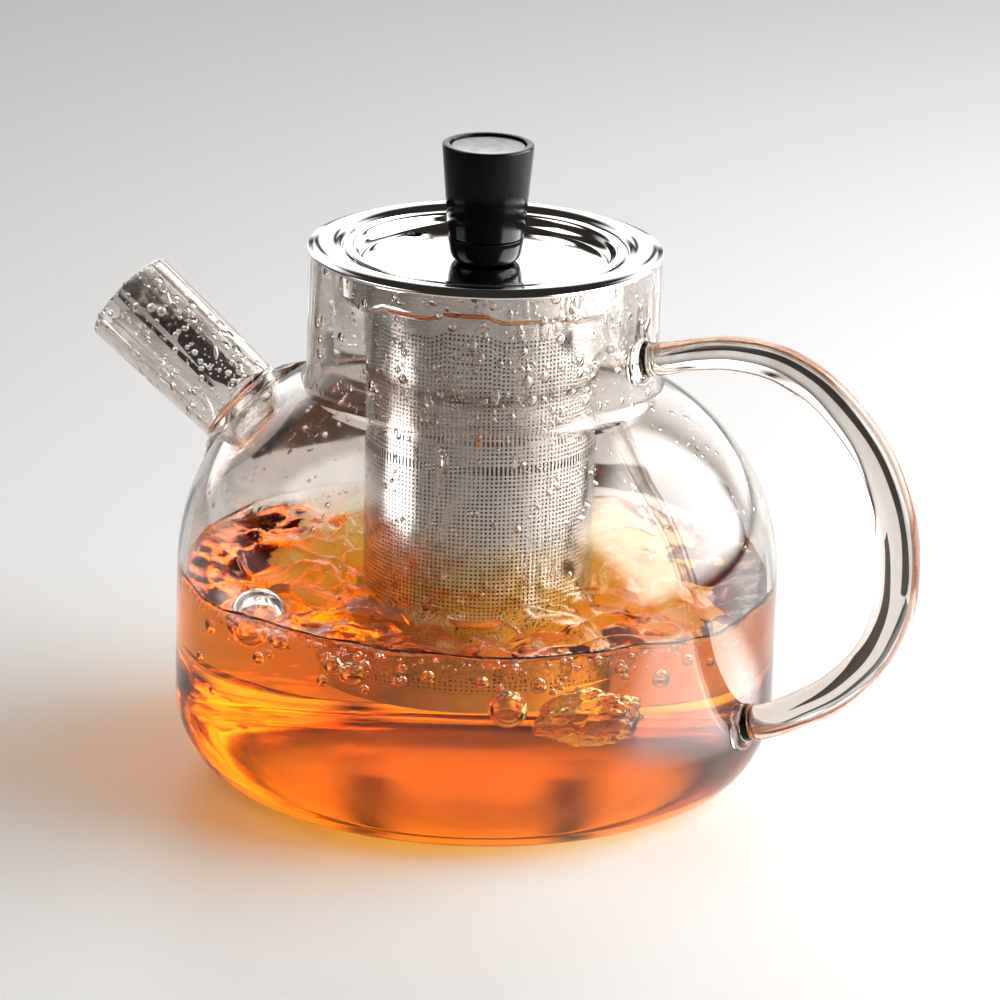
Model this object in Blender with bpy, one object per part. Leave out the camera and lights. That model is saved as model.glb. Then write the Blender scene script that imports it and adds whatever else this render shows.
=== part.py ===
"""Glass teapot with a lift-out steel infuser and a nested steel lid.

Metres, +Z up. The origin is the centre of the flat base. The handle is on
+X, the spout on -X, and the pot is symmetric about the plane y = 0.
"""
import math

import bmesh
import bpy
from mathutils import Matrix, Vector

MM = 0.001
GAP = 0.3 * MM                      # running gap between pieces that touch

# Blown glass pot
BODY_RADIUS = 68.0 * MM
BASE_FLAT_RADIUS = 53.0 * MM
BASE_CORNER_HEIGHT = 19.0 * MM
SHOULDER_BOTTOM = 45.0 * MM         # where the straight wall starts to close in
SHOULDER_HEIGHT = 54.0 * MM         # height of the whole superellipse
SHOULDER_POWER = 2.25
SHOULDER_STEPS = 9
NECK_RADIUS = 39.55 * MM
NECK_FILLET = 5.0 * MM
RIM_HEIGHT = 122.0 * MM
GLASS_WALL = 2.0 * MM
GLASS_BASE = 2.6 * MM
BODY_SEGMENTS = 48

# Straight spout, in the plane y = 0 on the -X side
SPOUT_ROOT = (60.0 * MM, 74.5 * MM)     # axis at the pot's surface: distance out, height
SPOUT_TIP = (91.9 * MM, 96.7 * MM)      # axis at the mouth
SPOUT_ROOT_RADIUS = 10.75 * MM
SPOUT_TIP_RADIUS = 11.65 * MM
SPOUT_WALL = 1.9 * MM
SPOUT_FLARE = 2.2 * MM                  # extra radius where it is fused on
SPOUT_FLARE_LENGTH = 6.0 * MM
SPOUT_BURIED = 10.0 * MM

# Solid glass rod handle, in the plane y = 0 on the +X side: distance out, height, rod radius
HANDLE_ROUTE = (
    (37.0, 102.0, 5.4),
    (43.5, 103.0, 4.2),
    (52.0, 105.6, 3.5),
    (64.0, 107.5, 3.9),
    (77.0, 105.6, 4.2),
    (90.0, 97.0, 4.5),
    (100.2, 82.5, 4.7),
    (104.0, 64.5, 4.75),
    (101.0, 48.0, 4.6),
    (92.0, 35.5, 4.4),
    (79.0, 26.8, 4.0),
    (71.5, 23.4, 4.4),
    (65.0, 21.2, 5.8),
)
HANDLE_STEPS = 3
HANDLE_SIDES = 12

# Infuser: a drawn ring that hangs on the glass rim, an etched tube and a cup-shaped end
SHEET = 0.8 * MM
RING_OUTER_RADIUS = 39.9 * MM
RING_TOP = RIM_HEIGHT + GAP + SHEET
RECESS_RADIUS = 32.0 * MM
LEDGE_TOP = RING_TOP - 1.7 * MM
COLLAR_RADIUS = 31.0 * MM               # outside of the drawn collar
COLLAR_BOTTOM = 114.0 * MM
SPIGOT_BOTTOM = 106.0 * MM
TUBE_RADIUS = 26.0 * MM
TUBE_WALL = 0.5 * MM
TUBE_TOP = 111.6 * MM
TUBE_BOTTOM = 25.0 * MM
END_CUP_HEIGHT = 4.0 * MM

# Lid: a pressed pan that nests in the ring's recess
LID_SHEET = 0.6 * MM
LID_LIP_RADIUS = RECESS_RADIUS - 2 * GAP
LID_WALL_RADIUS = COLLAR_RADIUS - SHEET - 3 * GAP
LID_FLOOR_RADIUS = 28.0 * MM
LID_LIP_TOP = LEDGE_TOP + GAP + LID_SHEET
LID_FLOOR_TOP = 119.2 * MM
VENT_RADIUS = 2.0 * MM
VENT_DISTANCE = 25.6 * MM
VENT_ANGLE = math.radians(157.0)

# Knob: moulded grip and foot, inlaid disc, threaded insert, washer and screw
KNOB_TOP = 146.25 * MM
KNOB_TOP_RADIUS = 10.3 * MM
KNOB_PARTING = 125.2 * MM
KNOB_PARTING_RADIUS = 8.55 * MM
KNOB_FOOT_RADIUS = 7.0 * MM
DISC_RADIUS = 8.3 * MM
DISC_THICKNESS = 1.0 * MM
DISC_RECESS = 0.5 * MM
INSERT_RADIUS = 3.4 * MM
INSERT_LENGTH = 9.0 * MM
SCREW_RADIUS = 2.0 * MM
SCREW_HEAD_RADIUS = 3.8 * MM
SCREW_HEAD_HEIGHT = 2.2 * MM
WASHER_RADIUS = 5.5 * MM
WASHER_THICKNESS = 0.8 * MM
SCREW_HOLE_RADIUS = SCREW_RADIUS + GAP
KNOB_SEGMENTS = 28
STEEL_SEGMENTS = 40


def clear_scene():
    for item in list(bpy.data.objects):
        bpy.data.objects.remove(item, do_unlink=True)


def material(name, colour, roughness, metallic, transmission=0.0):
    mat = bpy.data.materials.new(name)
    mat.use_nodes = True
    shader = mat.node_tree.nodes["Principled BSDF"]
    shader.inputs["Base Color"].default_value = (*colour, 1.0)
    shader.inputs["Roughness"].default_value = roughness
    shader.inputs["Metallic"].default_value = metallic
    shader.inputs["Transmission Weight"].default_value = transmission
    return mat


def add_object(name, bm, mat, sharp_angle=35.0):
    """Closes the bmesh into a smooth-shaded object with faces pointing out."""
    bmesh.ops.remove_doubles(bm, verts=bm.verts, dist=1e-7)
    bmesh.ops.recalc_face_normals(bm, faces=bm.faces)
    mesh = bpy.data.meshes.new(name)
    bm.to_mesh(mesh)
    bm.free()
    mesh.shade_smooth()
    mesh.set_sharp_from_angle(angle=math.radians(sharp_angle))
    if mat:
        mesh.materials.append(mat)
    obj = bpy.data.objects.new(name, mesh)
    bpy.context.scene.collection.objects.link(obj)
    return obj


def turned(name, outline, segments, mat=None, closed=True):
    """Spins an outline of (radius, height) points round the Z axis.

    A closed outline makes a ring. An open one starts and ends on the axis.
    """
    bm = bmesh.new()
    points = [bm.verts.new((r, 0.0, z)) for r, z in outline]
    edges = [bm.edges.new(pair) for pair in zip(points, points[1:])]
    if closed:
        edges.append(bm.edges.new((points[-1], points[0])))
    bmesh.ops.spin(bm, geom=points + edges, axis=(0, 0, 1), cent=(0, 0, 0),
                   angle=2 * math.pi, steps=segments, use_merge=True)
    return add_object(name, bm, mat)


def arc(centre, radius, start, end, steps):
    """Points on an arc in the outline's plane, angles in degrees from +radius to +height."""
    points = []
    for step in range(steps + 1):
        angle = math.radians(start + (end - start) * step / steps)
        points.append((centre[0] + radius * math.cos(angle), centre[1] + radius * math.sin(angle)))
    return points


def curve_through(start, corner, end, steps):
    """Points on a quadratic curve that leaves start and reaches end along the lines to corner."""
    points = []
    for step in range(steps + 1):
        t = step / steps
        points.append(tuple((1 - t) ** 2 * a + 2 * t * (1 - t) * b + t * t * c
                            for a, b, c in zip(start, corner, end)))
    return points


def offset(points, distance):
    """Moves an outline sideways, to its left for a positive distance."""
    moved = []
    for i, (r, z) in enumerate(points):
        before = points[max(i - 1, 0)]
        after = points[min(i + 1, len(points) - 1)]
        dr, dz = after[0] - before[0], after[1] - before[1]
        length = math.hypot(dr, dz)
        moved.append((r - distance * dz / length, z + distance * dr / length))
    return moved


def shoulder_point(angle):
    power = 2.0 / SHOULDER_POWER
    return (BODY_RADIUS * math.cos(angle) ** power,
            SHOULDER_BOTTOM + SHOULDER_HEIGHT * math.sin(angle) ** power)


def pot_outline(top):
    """Outside of the pot from the edge of its flat base up to the given height on the neck."""
    depth = BODY_RADIUS - BASE_FLAT_RADIUS
    corner = [(BASE_FLAT_RADIUS + depth * math.sin(math.radians(a)),
               BASE_CORNER_HEIGHT * (1 - math.cos(math.radians(a)))) for a in range(0, 91, 18)]
    last = math.acos((NECK_RADIUS / BODY_RADIUS) ** (SHOULDER_POWER / 2))
    shoulder = [shoulder_point(last * step / SHOULDER_STEPS) for step in range(SHOULDER_STEPS)]
    meet = shoulder_point(last)
    neck = curve_through(shoulder_point(last * 0.97), meet, (NECK_RADIUS, meet[1] + NECK_FILLET), 3)
    return corner + shoulder + neck + [(NECK_RADIUS, top)]


def make_glass_body(mat):
    lip = GLASS_WALL / 2
    outside = pot_outline(RIM_HEIGHT - lip)
    rim = arc((NECK_RADIUS - lip, RIM_HEIGHT - lip), lip, 30, 150, 4)
    inside = offset(outside, GLASS_WALL)
    inside[0] = (BASE_FLAT_RADIUS, GLASS_BASE)
    inside = [point for point in inside if point[1] >= GLASS_BASE][::-1]
    outline = [(0, 0)] + outside + rim + inside + [(0, GLASS_BASE)]
    body = turned("glass_body", outline, BODY_SEGMENTS, mat, closed=False)
    cut(body, spout_solid("spout_bore_cutter", bore=True))
    return body


def grown_pot():
    """The pot's outside grown by the gap, to cut the spout and the handle back to its surface."""
    outside = pot_outline(RIM_HEIGHT)
    grown = offset(outside, -GAP)
    outline = [(0, -GAP)] + grown + [(0, RIM_HEIGHT)]
    return turned("pot_cutter", outline, BODY_SEGMENTS, closed=False)


def cut(obj, cutter):
    cutter.hide_render = True
    cutter.display_type = "WIRE"
    modifier = obj.modifiers.new("cut", "BOOLEAN")
    modifier.operation = "DIFFERENCE"
    modifier.solver = "EXACT"
    modifier.object = cutter


def spout_solid(name, bore=False, mat=None):
    """The spout's tube, or only the space inside it, laid along its axis."""
    root = Vector((-SPOUT_ROOT[0], 0, SPOUT_ROOT[1]))
    tip = Vector((-SPOUT_TIP[0], 0, SPOUT_TIP[1]))
    length = (tip - root).length
    inner_root = SPOUT_ROOT_RADIUS - SPOUT_WALL
    inner_tip = SPOUT_TIP_RADIUS - SPOUT_WALL
    lip = SPOUT_WALL / 2
    if bore:
        outline = [(0, -SPOUT_BURIED), (inner_root, -SPOUT_BURIED), (inner_root, 0),
                   (inner_tip, length), (inner_tip, 2 * length), (0, 2 * length)]
        obj = turned(name, outline, 28, mat, closed=False)
    else:
        flare = curve_through((SPOUT_ROOT_RADIUS + SPOUT_FLARE, 0), (SPOUT_ROOT_RADIUS, 0),
                              (SPOUT_ROOT_RADIUS, SPOUT_FLARE_LENGTH), 4)
        mouth = arc((SPOUT_TIP_RADIUS - lip, length - lip), lip, 0, 180, 4)
        outline = ([(inner_root, -SPOUT_BURIED), (SPOUT_ROOT_RADIUS + SPOUT_FLARE, -SPOUT_BURIED)]
                   + flare + mouth + [(inner_root, 0)])
        obj = turned(name, outline, 28, mat)
    obj.location = root
    obj.rotation_mode = "QUATERNION"
    obj.rotation_quaternion = Vector((0, 0, 1)).rotation_difference(tip - root)
    return obj


def smooth_route(points, steps):
    """Catmull-Rom points through the route, so that the rod bends without corners."""
    route = []
    for i in range(len(points) - 1):
        a = Vector(points[max(i - 1, 0)])
        b = Vector(points[i])
        c = Vector(points[i + 1])
        d = Vector(points[min(i + 2, len(points) - 1)])
        for step in range(steps):
            t = step / steps
            route.append(0.5 * (2 * b + (c - a) * t + (2 * a - 5 * b + 4 * c - d) * t ** 2
                                + (3 * b - a - 3 * c + d) * t ** 3))
    route.append(Vector(points[-1]))
    return route


def make_handle(mat, cutter):
    route = smooth_route(HANDLE_ROUTE, HANDLE_STEPS)
    bm = bmesh.new()
    rings = []
    for i, (out, height, radius) in enumerate(route):
        before = route[max(i - 1, 0)]
        after = route[min(i + 1, len(route) - 1)]
        tangent = Vector((after[0] - before[0], 0, after[1] - before[1])).normalized()
        side = Vector((0, 1, 0))
        up = tangent.cross(side)
        centre = Vector((out, 0, height))
        ring = []
        for k in range(HANDLE_SIDES):
            angle = 2 * math.pi * k / HANDLE_SIDES
            spoke = side * math.cos(angle) + up * math.sin(angle)
            ring.append(bm.verts.new((centre + spoke * radius) * MM))
        rings.append(ring)
    for first, second in zip(rings, rings[1:]):
        for k in range(HANDLE_SIDES):
            nxt = (k + 1) % HANDLE_SIDES
            bm.faces.new((first[k], first[nxt], second[nxt], second[k]))
    bm.faces.new(rings[0])
    bm.faces.new(rings[-1][::-1])
    handle = add_object("glass_handle", bm, mat)
    cut(handle, cutter)
    return handle


def make_infuser_ring(mat):
    """Flat ring on the glass rim, recess and ledge for the lid, collar and spigot, in one sheet."""
    edge = SHEET / 2
    collar_in = COLLAR_RADIUS - SHEET
    spigot = TUBE_RADIUS - TUBE_WALL - GAP
    shoulder = COLLAR_BOTTOM - 1.4 * MM
    top = arc((RING_OUTER_RADIUS - edge, RING_TOP - edge), edge, -90, 90, 4)
    top += arc((RECESS_RADIUS + 0.6 * MM, RING_TOP - 0.6 * MM), 0.6 * MM, 90, 180, 3)
    top += [(RECESS_RADIUS, LEDGE_TOP), (collar_in, LEDGE_TOP)]
    inside = [(collar_in, COLLAR_BOTTOM + 0.4 * MM), (collar_in - 0.8 * MM, COLLAR_BOTTOM - 0.4 * MM),
              (spigot - SHEET, shoulder - 0.6 * MM), (spigot - SHEET, SPIGOT_BOTTOM)]
    outside = [(spigot, SPIGOT_BOTTOM), (spigot, TUBE_TOP + GAP), (TUBE_RADIUS, TUBE_TOP + GAP),
               (COLLAR_RADIUS - 1.0 * MM, COLLAR_BOTTOM - 1.6 * MM),
               (COLLAR_RADIUS, COLLAR_BOTTOM - 0.4 * MM), (COLLAR_RADIUS, LEDGE_TOP - SHEET),
               (RECESS_RADIUS + SHEET, LEDGE_TOP - SHEET), (RECESS_RADIUS + SHEET, RING_TOP - SHEET)]
    return turned("infuser_ring", top + inside + outside, STEEL_SEGMENTS, mat)


def make_infuser_tube(mat):
    inner = TUBE_RADIUS - TUBE_WALL
    outline = [(TUBE_RADIUS, TUBE_BOTTOM), (TUBE_RADIUS, TUBE_TOP), (inner, TUBE_TOP),
               (inner, TUBE_BOTTOM)]
    return turned("infuser_tube", outline, STEEL_SEGMENTS, mat)


def make_infuser_end(mat):
    """Shallow cup pressed into the bottom of the tube."""
    radius = TUBE_RADIUS - TUBE_WALL - GAP
    low = TUBE_BOTTOM
    high = low + END_CUP_HEIGHT
    bend = 1.2 * MM
    outside = arc((radius - bend, low + bend), bend, -90, 0, 3)
    inside = arc((radius - bend, low + bend), bend - TUBE_WALL, 0, -90, 3)
    outline = [(0, low)] + outside + [(radius, high), (radius - TUBE_WALL, high)] + inside
    outline += [(0, low + TUBE_WALL)]
    return turned("infuser_end", outline, STEEL_SEGMENTS, mat, closed=False)


def make_lid_pan(mat):
    """Pressed pan: flat lip on the ledge, sloped wall and flat floor with holes."""
    lip_low = LID_LIP_TOP - LID_SHEET
    edge = LID_SHEET / 2
    low = LID_FLOOR_TOP - LID_SHEET
    top = arc((LID_LIP_RADIUS - edge, LID_LIP_TOP - edge), edge, -90, 90, 3)
    top += [(LID_WALL_RADIUS, LID_LIP_TOP), (LID_WALL_RADIUS - LID_SHEET, LID_LIP_TOP - 0.5 * MM)]
    floor = curve_through((LID_FLOOR_RADIUS + 0.3 * MM, LID_FLOOR_TOP + 1.4 * MM),
                          (LID_FLOOR_RADIUS, LID_FLOOR_TOP),
                          (LID_FLOOR_RADIUS - 1.4 * MM, LID_FLOOR_TOP), 3)
    under = curve_through((LID_FLOOR_RADIUS - 1.4 * MM, low), (LID_FLOOR_RADIUS + LID_SHEET, low),
                          (LID_FLOOR_RADIUS + LID_SHEET + 0.3 * MM, LID_FLOOR_TOP + 1.0 * MM), 3)
    hole = SCREW_HOLE_RADIUS
    outline = top + floor + [(hole, LID_FLOOR_TOP), (hole, low)] + under
    outline += [(LID_WALL_RADIUS, lip_low)]
    pan = turned("lid_pan", outline, STEEL_SEGMENTS, mat)
    cutter = turned("vent_cutter", [(0, low - 2 * MM), (VENT_RADIUS, low - 2 * MM),
                                    (VENT_RADIUS, LID_LIP_TOP + 2 * MM), (0, LID_LIP_TOP + 2 * MM)],
                    16, closed=False)
    cutter.location = (VENT_DISTANCE * math.cos(VENT_ANGLE), VENT_DISTANCE * math.sin(VENT_ANGLE), 0)
    cut(pan, cutter)
    return pan


def make_knob_foot(mat):
    """Rounded foot between the lid and the parting line, with a hole for the screw."""
    low = LID_FLOOR_TOP + GAP
    high = KNOB_PARTING - GAP
    side = curve_through((KNOB_FOOT_RADIUS - 0.8 * MM, low), (KNOB_FOOT_RADIUS + 0.8 * MM, low),
                         (KNOB_PARTING_RADIUS - 0.25 * MM, low + 3.2 * MM), 4)
    hole = INSERT_RADIUS + GAP
    outline = [(hole, low)] + side + [(KNOB_PARTING_RADIUS, high), (hole, high)]
    return turned("knob_foot", outline, KNOB_SEGMENTS, mat)


def make_knob_grip(mat):
    """Tapered grip with a recess for the disc and a blind bore for the insert."""
    edge = 0.5 * MM
    recess = DISC_RADIUS + GAP
    bore = INSERT_RADIUS + GAP
    bore_top = LID_FLOOR_TOP + 2 * GAP + INSERT_LENGTH + GAP
    recess_floor = KNOB_TOP - DISC_RECESS - DISC_THICKNESS - GAP
    rim = arc((KNOB_TOP_RADIUS - edge, KNOB_TOP - edge), edge, 0, 90, 3)
    outline = [(0, bore_top), (bore, bore_top), (bore, KNOB_PARTING),
               (KNOB_PARTING_RADIUS, KNOB_PARTING)]
    outline += rim + [(recess, KNOB_TOP), (recess, recess_floor), (0, recess_floor)]
    return turned("knob_grip", outline, KNOB_SEGMENTS, mat, closed=False)


def make_knob_disc(mat):
    """Polished disc set into the top of the grip."""
    low = KNOB_TOP - DISC_RECESS - DISC_THICKNESS
    high = KNOB_TOP - DISC_RECESS
    outline = [(0, low), (DISC_RADIUS, low), (DISC_RADIUS, high - 0.2 * MM),
               (DISC_RADIUS - 0.2 * MM, high), (0, high)]
    return turned("knob_disc", outline, KNOB_SEGMENTS, mat, closed=False)


def make_knob_insert(mat):
    """Threaded brass sleeve moulded into the grip, drawn without its thread."""
    low = LID_FLOOR_TOP + 2 * GAP
    high = low + INSERT_LENGTH
    hole = SCREW_RADIUS + GAP
    outline = [(hole, low), (INSERT_RADIUS, low), (INSERT_RADIUS, high), (hole, high)]
    return turned("knob_insert", outline, 24, mat)


def make_knob_washer(mat):
    high = LID_FLOOR_TOP - LID_SHEET - GAP
    low = high - WASHER_THICKNESS
    outline = [(SCREW_HOLE_RADIUS, low), (WASHER_RADIUS, low), (WASHER_RADIUS, high),
               (SCREW_HOLE_RADIUS, high)]
    return turned("knob_washer", outline, 24, mat)


def make_knob_screw(mat):
    """Pan-head screw from below the lid up into the insert."""
    head_top = LID_FLOOR_TOP - LID_SHEET - 2 * GAP - WASHER_THICKNESS
    head_low = head_top - SCREW_HEAD_HEIGHT
    tip = LID_FLOOR_TOP + INSERT_LENGTH - 1.0 * MM
    crown = curve_through((0, head_low), (SCREW_HEAD_RADIUS, head_low),
                          (SCREW_HEAD_RADIUS, head_top), 5)
    outline = crown + [(SCREW_RADIUS, head_top), (SCREW_RADIUS, tip - 0.6 * MM),
                       (SCREW_RADIUS - 0.6 * MM, tip), (0, tip)]
    screw = turned("knob_screw", outline, 24, mat, closed=False)
    slot_depth = 1.0 * MM
    for turn in (0.0, math.pi / 2):
        bm = bmesh.new()
        bmesh.ops.create_cube(bm, size=1.0, matrix=Matrix.Diagonal((4.2 * MM, 0.9 * MM, 2 * slot_depth, 1)))
        slot = add_object(f"slot_cutter_{round(math.degrees(turn))}", bm, None)
        slot.location = (0, 0, head_low)
        slot.rotation_euler = (0, 0, turn)
        cut(screw, slot)
    return screw


def main():
    clear_scene()
    glass = material("clear_glass", (0.97, 0.97, 0.95), 0.0, 0.0, 1.0)
    steel = material("polished_steel", (0.78, 0.78, 0.77), 0.08, 1.0)
    etched = material("etched_steel", (0.62, 0.61, 0.60), 0.3, 1.0)
    black = material("gloss_black_plastic", (0.012, 0.012, 0.012), 0.12, 0.0)
    grey = material("satin_disc_steel", (0.45, 0.45, 0.45), 0.25, 1.0)
    brass = material("brass", (0.72, 0.52, 0.22), 0.3, 1.0)
    pot = grown_pot()
    make_glass_body(glass)
    spout = spout_solid("glass_spout", mat=glass)
    cut(spout, pot)
    make_handle(glass, pot)
    make_infuser_ring(steel)
    make_infuser_tube(etched)
    make_infuser_end(etched)
    make_lid_pan(steel)
    make_knob_foot(black)
    make_knob_grip(black)
    make_knob_disc(grey)
    make_knob_insert(brass)
    make_knob_washer(steel)
    make_knob_screw(steel)
    pot.hide_render = True


main()
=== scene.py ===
# %% [markdown]
# # A glass teapot in Blender
# The frame of this object comes from a CAD model: it says where every piece is and how it moves.
# This script keeps those places and gives each piece its real shape, detail and finish.

import math
import random

import bmesh
import bpy
import numpy as np
from mathutils import Matrix, Vector


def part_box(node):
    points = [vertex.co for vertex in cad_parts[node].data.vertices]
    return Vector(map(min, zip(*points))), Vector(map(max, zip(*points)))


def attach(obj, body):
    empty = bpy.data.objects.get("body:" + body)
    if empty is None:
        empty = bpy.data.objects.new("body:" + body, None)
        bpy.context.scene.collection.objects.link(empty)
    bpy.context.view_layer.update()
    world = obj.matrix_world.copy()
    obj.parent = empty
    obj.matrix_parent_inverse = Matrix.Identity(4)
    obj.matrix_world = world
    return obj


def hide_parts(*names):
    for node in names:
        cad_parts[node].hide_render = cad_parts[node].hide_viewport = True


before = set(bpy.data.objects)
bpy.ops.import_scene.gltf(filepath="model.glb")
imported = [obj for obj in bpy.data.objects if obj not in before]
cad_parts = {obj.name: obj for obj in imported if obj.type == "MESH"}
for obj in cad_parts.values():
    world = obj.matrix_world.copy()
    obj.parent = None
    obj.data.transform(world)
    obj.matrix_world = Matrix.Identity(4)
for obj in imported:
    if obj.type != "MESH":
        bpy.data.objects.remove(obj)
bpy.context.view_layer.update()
MM = 0.001

# %% [markdown]
# The camera comes first, because every later choice is judged through it. It is a long lens far
# away, as in a product picture, so the pot's ellipses stay flat and its walls stay upright. It
# looks down a little, from the handle's side, and leans by less than two degrees.

# %% Camera
CAMERA_PLACE = Vector((0.6885, -1.3407, 0.5431))
CAMERA_LOOK = Vector((-0.4326, 0.8490, -0.3035)).normalized()
CAMERA_LEAN = math.radians(1.606)
CAMERA_LENS = 252.0

level_right = CAMERA_LOOK.cross(Vector((0, 0, 1))).normalized()
level_up = level_right.cross(CAMERA_LOOK)
camera_right = level_right * math.cos(CAMERA_LEAN) + level_up * math.sin(CAMERA_LEAN)
camera_up = level_up * math.cos(CAMERA_LEAN) - level_right * math.sin(CAMERA_LEAN)
camera_turn = Matrix((camera_right, camera_up, -CAMERA_LOOK)).transposed()
bpy.ops.object.camera_add(location=CAMERA_PLACE, rotation=camera_turn.to_euler())
camera = bpy.context.object
camera.data.lens = CAMERA_LENS
camera.data.sensor_width = 36.0
bpy.context.scene.camera = camera
print("camera", round(CAMERA_PLACE.length, 3), "m from the pot's base")

# %% [markdown]
# Sizes are read from the frame's boxes, so that each fine piece lands on the CAD piece that it
# stands for. Only what a box can't say, such as a wall's thickness, is given here.

# %% Sizes from the frame
pot_low, pot_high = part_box("glass_body")
ring_low, ring_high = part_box("infuser_ring")
tube_low, tube_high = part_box("infuser_tube")
end_low, end_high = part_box("infuser_end")
pan_low, pan_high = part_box("lid_pan")
foot_low, foot_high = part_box("knob_foot")
grip_low, grip_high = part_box("knob_grip")
disc_low, disc_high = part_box("knob_disc")

POT_RADIUS = pot_high.x
RIM_HEIGHT = pot_high.z
GLASS_WALL = 2.0 * MM
GLASS_BASE = 2.6 * MM
BASE_FLAT = 53.0 * MM
BASE_CORNER = 19.0 * MM
SHOULDER_BOTTOM = 45.0 * MM
SHOULDER_RISE = 54.0 * MM
SHOULDER_POWER = 2.25
NECK_RADIUS = 39.55 * MM
NECK_FILLET = 5.0 * MM
SPOUT_ROOT = Vector((-60.0, 0, 74.5)) * MM
SPOUT_TIP = Vector((-91.9, 0, 96.7)) * MM
SPOUT_ROOT_RADIUS = 10.75 * MM
SPOUT_TIP_RADIUS = 11.6 * MM
SPOUT_WALL = 1.9 * MM
TEA_LEVEL = 47.0 * MM
print("pot", round(2000 * POT_RADIUS), "mm wide, rim at", round(1000 * RIM_HEIGHT), "mm")

# %% [markdown]
# A modelling step works on what is selected, so every step starts from a clean selection. When a
# piece is complete, its double points are merged, its faces are turned outwards and its soft
# bends are shaded smooth.

# %% Helpers that choose and close a piece
def clear_selection():
    if bpy.context.object and bpy.context.object.mode != "OBJECT":
        bpy.ops.object.mode_set(mode="OBJECT")
    bpy.ops.object.select_all(action="DESELECT")


def choose(piece):
    clear_selection()
    piece.select_set(True)
    bpy.context.view_layer.objects.active = piece


def close_up(piece, smooth_angle=40.0):
    """Merges doubles, turns the faces outwards and shades the piece smooth."""
    choose(piece)
    bpy.ops.object.mode_set(mode="EDIT")
    bpy.ops.mesh.select_all(action="SELECT")
    bpy.ops.mesh.remove_doubles(threshold=1e-6)
    bpy.ops.mesh.normals_make_consistent(inside=False)
    bpy.ops.object.mode_set(mode="OBJECT")
    bpy.ops.object.shade_smooth_by_angle(angle=math.radians(smooth_angle))
    return piece


clear_selection()
print("selected now:", len(bpy.context.selected_objects))

# %% [markdown]
# Most of the pot is turned round one upright axis. A potter's outline is drawn point by point,
# and then spun. The helper starts from a plane, keeps one corner of it, extrudes that vertex
# along the outline and spins the line. An outline that starts and ends on the axis gives a solid
# body, and a closed one gives a ring.

# %% A helper for turned pieces
def turned(name, outline, steps=96, ring=False, smooth_angle=40.0):
    """Spins an outline of (radius, height) points round the Z axis."""
    clear_selection()
    bpy.ops.mesh.primitive_plane_add(size=0.01)
    piece = bpy.context.object
    piece.name = piece.data.name = name
    bpy.ops.object.mode_set(mode="EDIT")
    mesh = bmesh.from_edit_mesh(piece.data)
    mesh.verts.ensure_lookup_table()
    bmesh.ops.delete(mesh, geom=mesh.verts[1:], context="VERTS")
    mesh.verts.ensure_lookup_table()
    mesh.verts[0].co = (outline[0][0], 0, outline[0][1])
    mesh.verts[0].select = True
    bmesh.update_edit_mesh(piece.data)
    for before, after in zip(outline, outline[1:]):
        step = (after[0] - before[0], 0, after[1] - before[1])
        bpy.ops.mesh.extrude_vertices_move(TRANSFORM_OT_translate={"value": step})
    if ring:
        mesh = bmesh.from_edit_mesh(piece.data)
        ends = [v for v in mesh.verts if len(v.link_edges) == 1]
        mesh.edges.new(ends)
        bmesh.update_edit_mesh(piece.data)
    bpy.ops.mesh.select_all(action="SELECT")
    bpy.ops.mesh.spin(steps=steps, angle=2 * math.pi, center=(0, 0, 0), axis=(0, 0, 1))
    return close_up(piece, smooth_angle)


print("a turned piece follows its outline of (radius, height) points")

# %% [markdown]
# Outlines are put together from straight runs, arcs and soft bends, in the order in which a
# template would be filed. A wall of even thickness needs its inside too, and that is the same
# outline moved inwards.

# %% Helpers for outlines
def arc(centre, radius, start, end, steps):
    """Outline points on an arc, in degrees from +radius towards +height."""
    angles = [math.radians(start + (end - start) * i / steps) for i in range(steps + 1)]
    return [(centre[0] + radius * math.cos(a), centre[1] + radius * math.sin(a)) for a in angles]


def bend(start, corner, end, steps):
    """Outline points on a soft bend that would have its sharp corner at corner."""
    points = []
    for i in range(steps + 1):
        t = i / steps
        points.append(tuple((1 - t) ** 2 * a + 2 * t * (1 - t) * b + t * t * c
                            for a, b, c in zip(start, corner, end)))
    return points


def moved_in(outline, distance):
    """The outline moved to its left by distance: into the wall, on an outline that climbs."""
    points = []
    for i, (r, z) in enumerate(outline):
        a = outline[max(i - 1, 0)]
        b = outline[min(i + 1, len(outline) - 1)]
        dr, dz = b[0] - a[0], b[1] - a[1]
        size = math.hypot(dr, dz)
        points.append((r - distance * dz / size, z + distance * dr / size))
    return points


print("a quarter arc in six steps has", len(arc((0, 0), MM, 0, 90, 6)), "points")

# %% [markdown]
# Two solids are joined, or one is cut out of the other, by a boolean. The second one is only a
# tool and is removed.

# %% A helper that joins and cuts
def combine(piece, other, operation):
    """Joins or cuts one solid with another and removes the other."""
    choose(piece)
    change = piece.modifiers.new("change", "BOOLEAN")
    change.operation = operation
    change.object = other
    bpy.ops.object.modifier_apply(modifier=change.name)
    bpy.data.objects.remove(other, do_unlink=True)
    return piece


print("joins and cuts are exact booleans")

# %% [markdown]
# The pot is blown into a mould. Its outline is a flat base, an elliptical corner, a straight
# wall, and a shoulder that closes in on a superellipse up to a straight neck.

# %% The pot's outline
CORNER_STEPS = 10
SHOULDER_STEPS = 18


def shoulder_point(angle):
    power = 2.0 / SHOULDER_POWER
    return (POT_RADIUS * math.cos(angle) ** power,
            SHOULDER_BOTTOM + SHOULDER_RISE * math.sin(angle) ** power)


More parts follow.
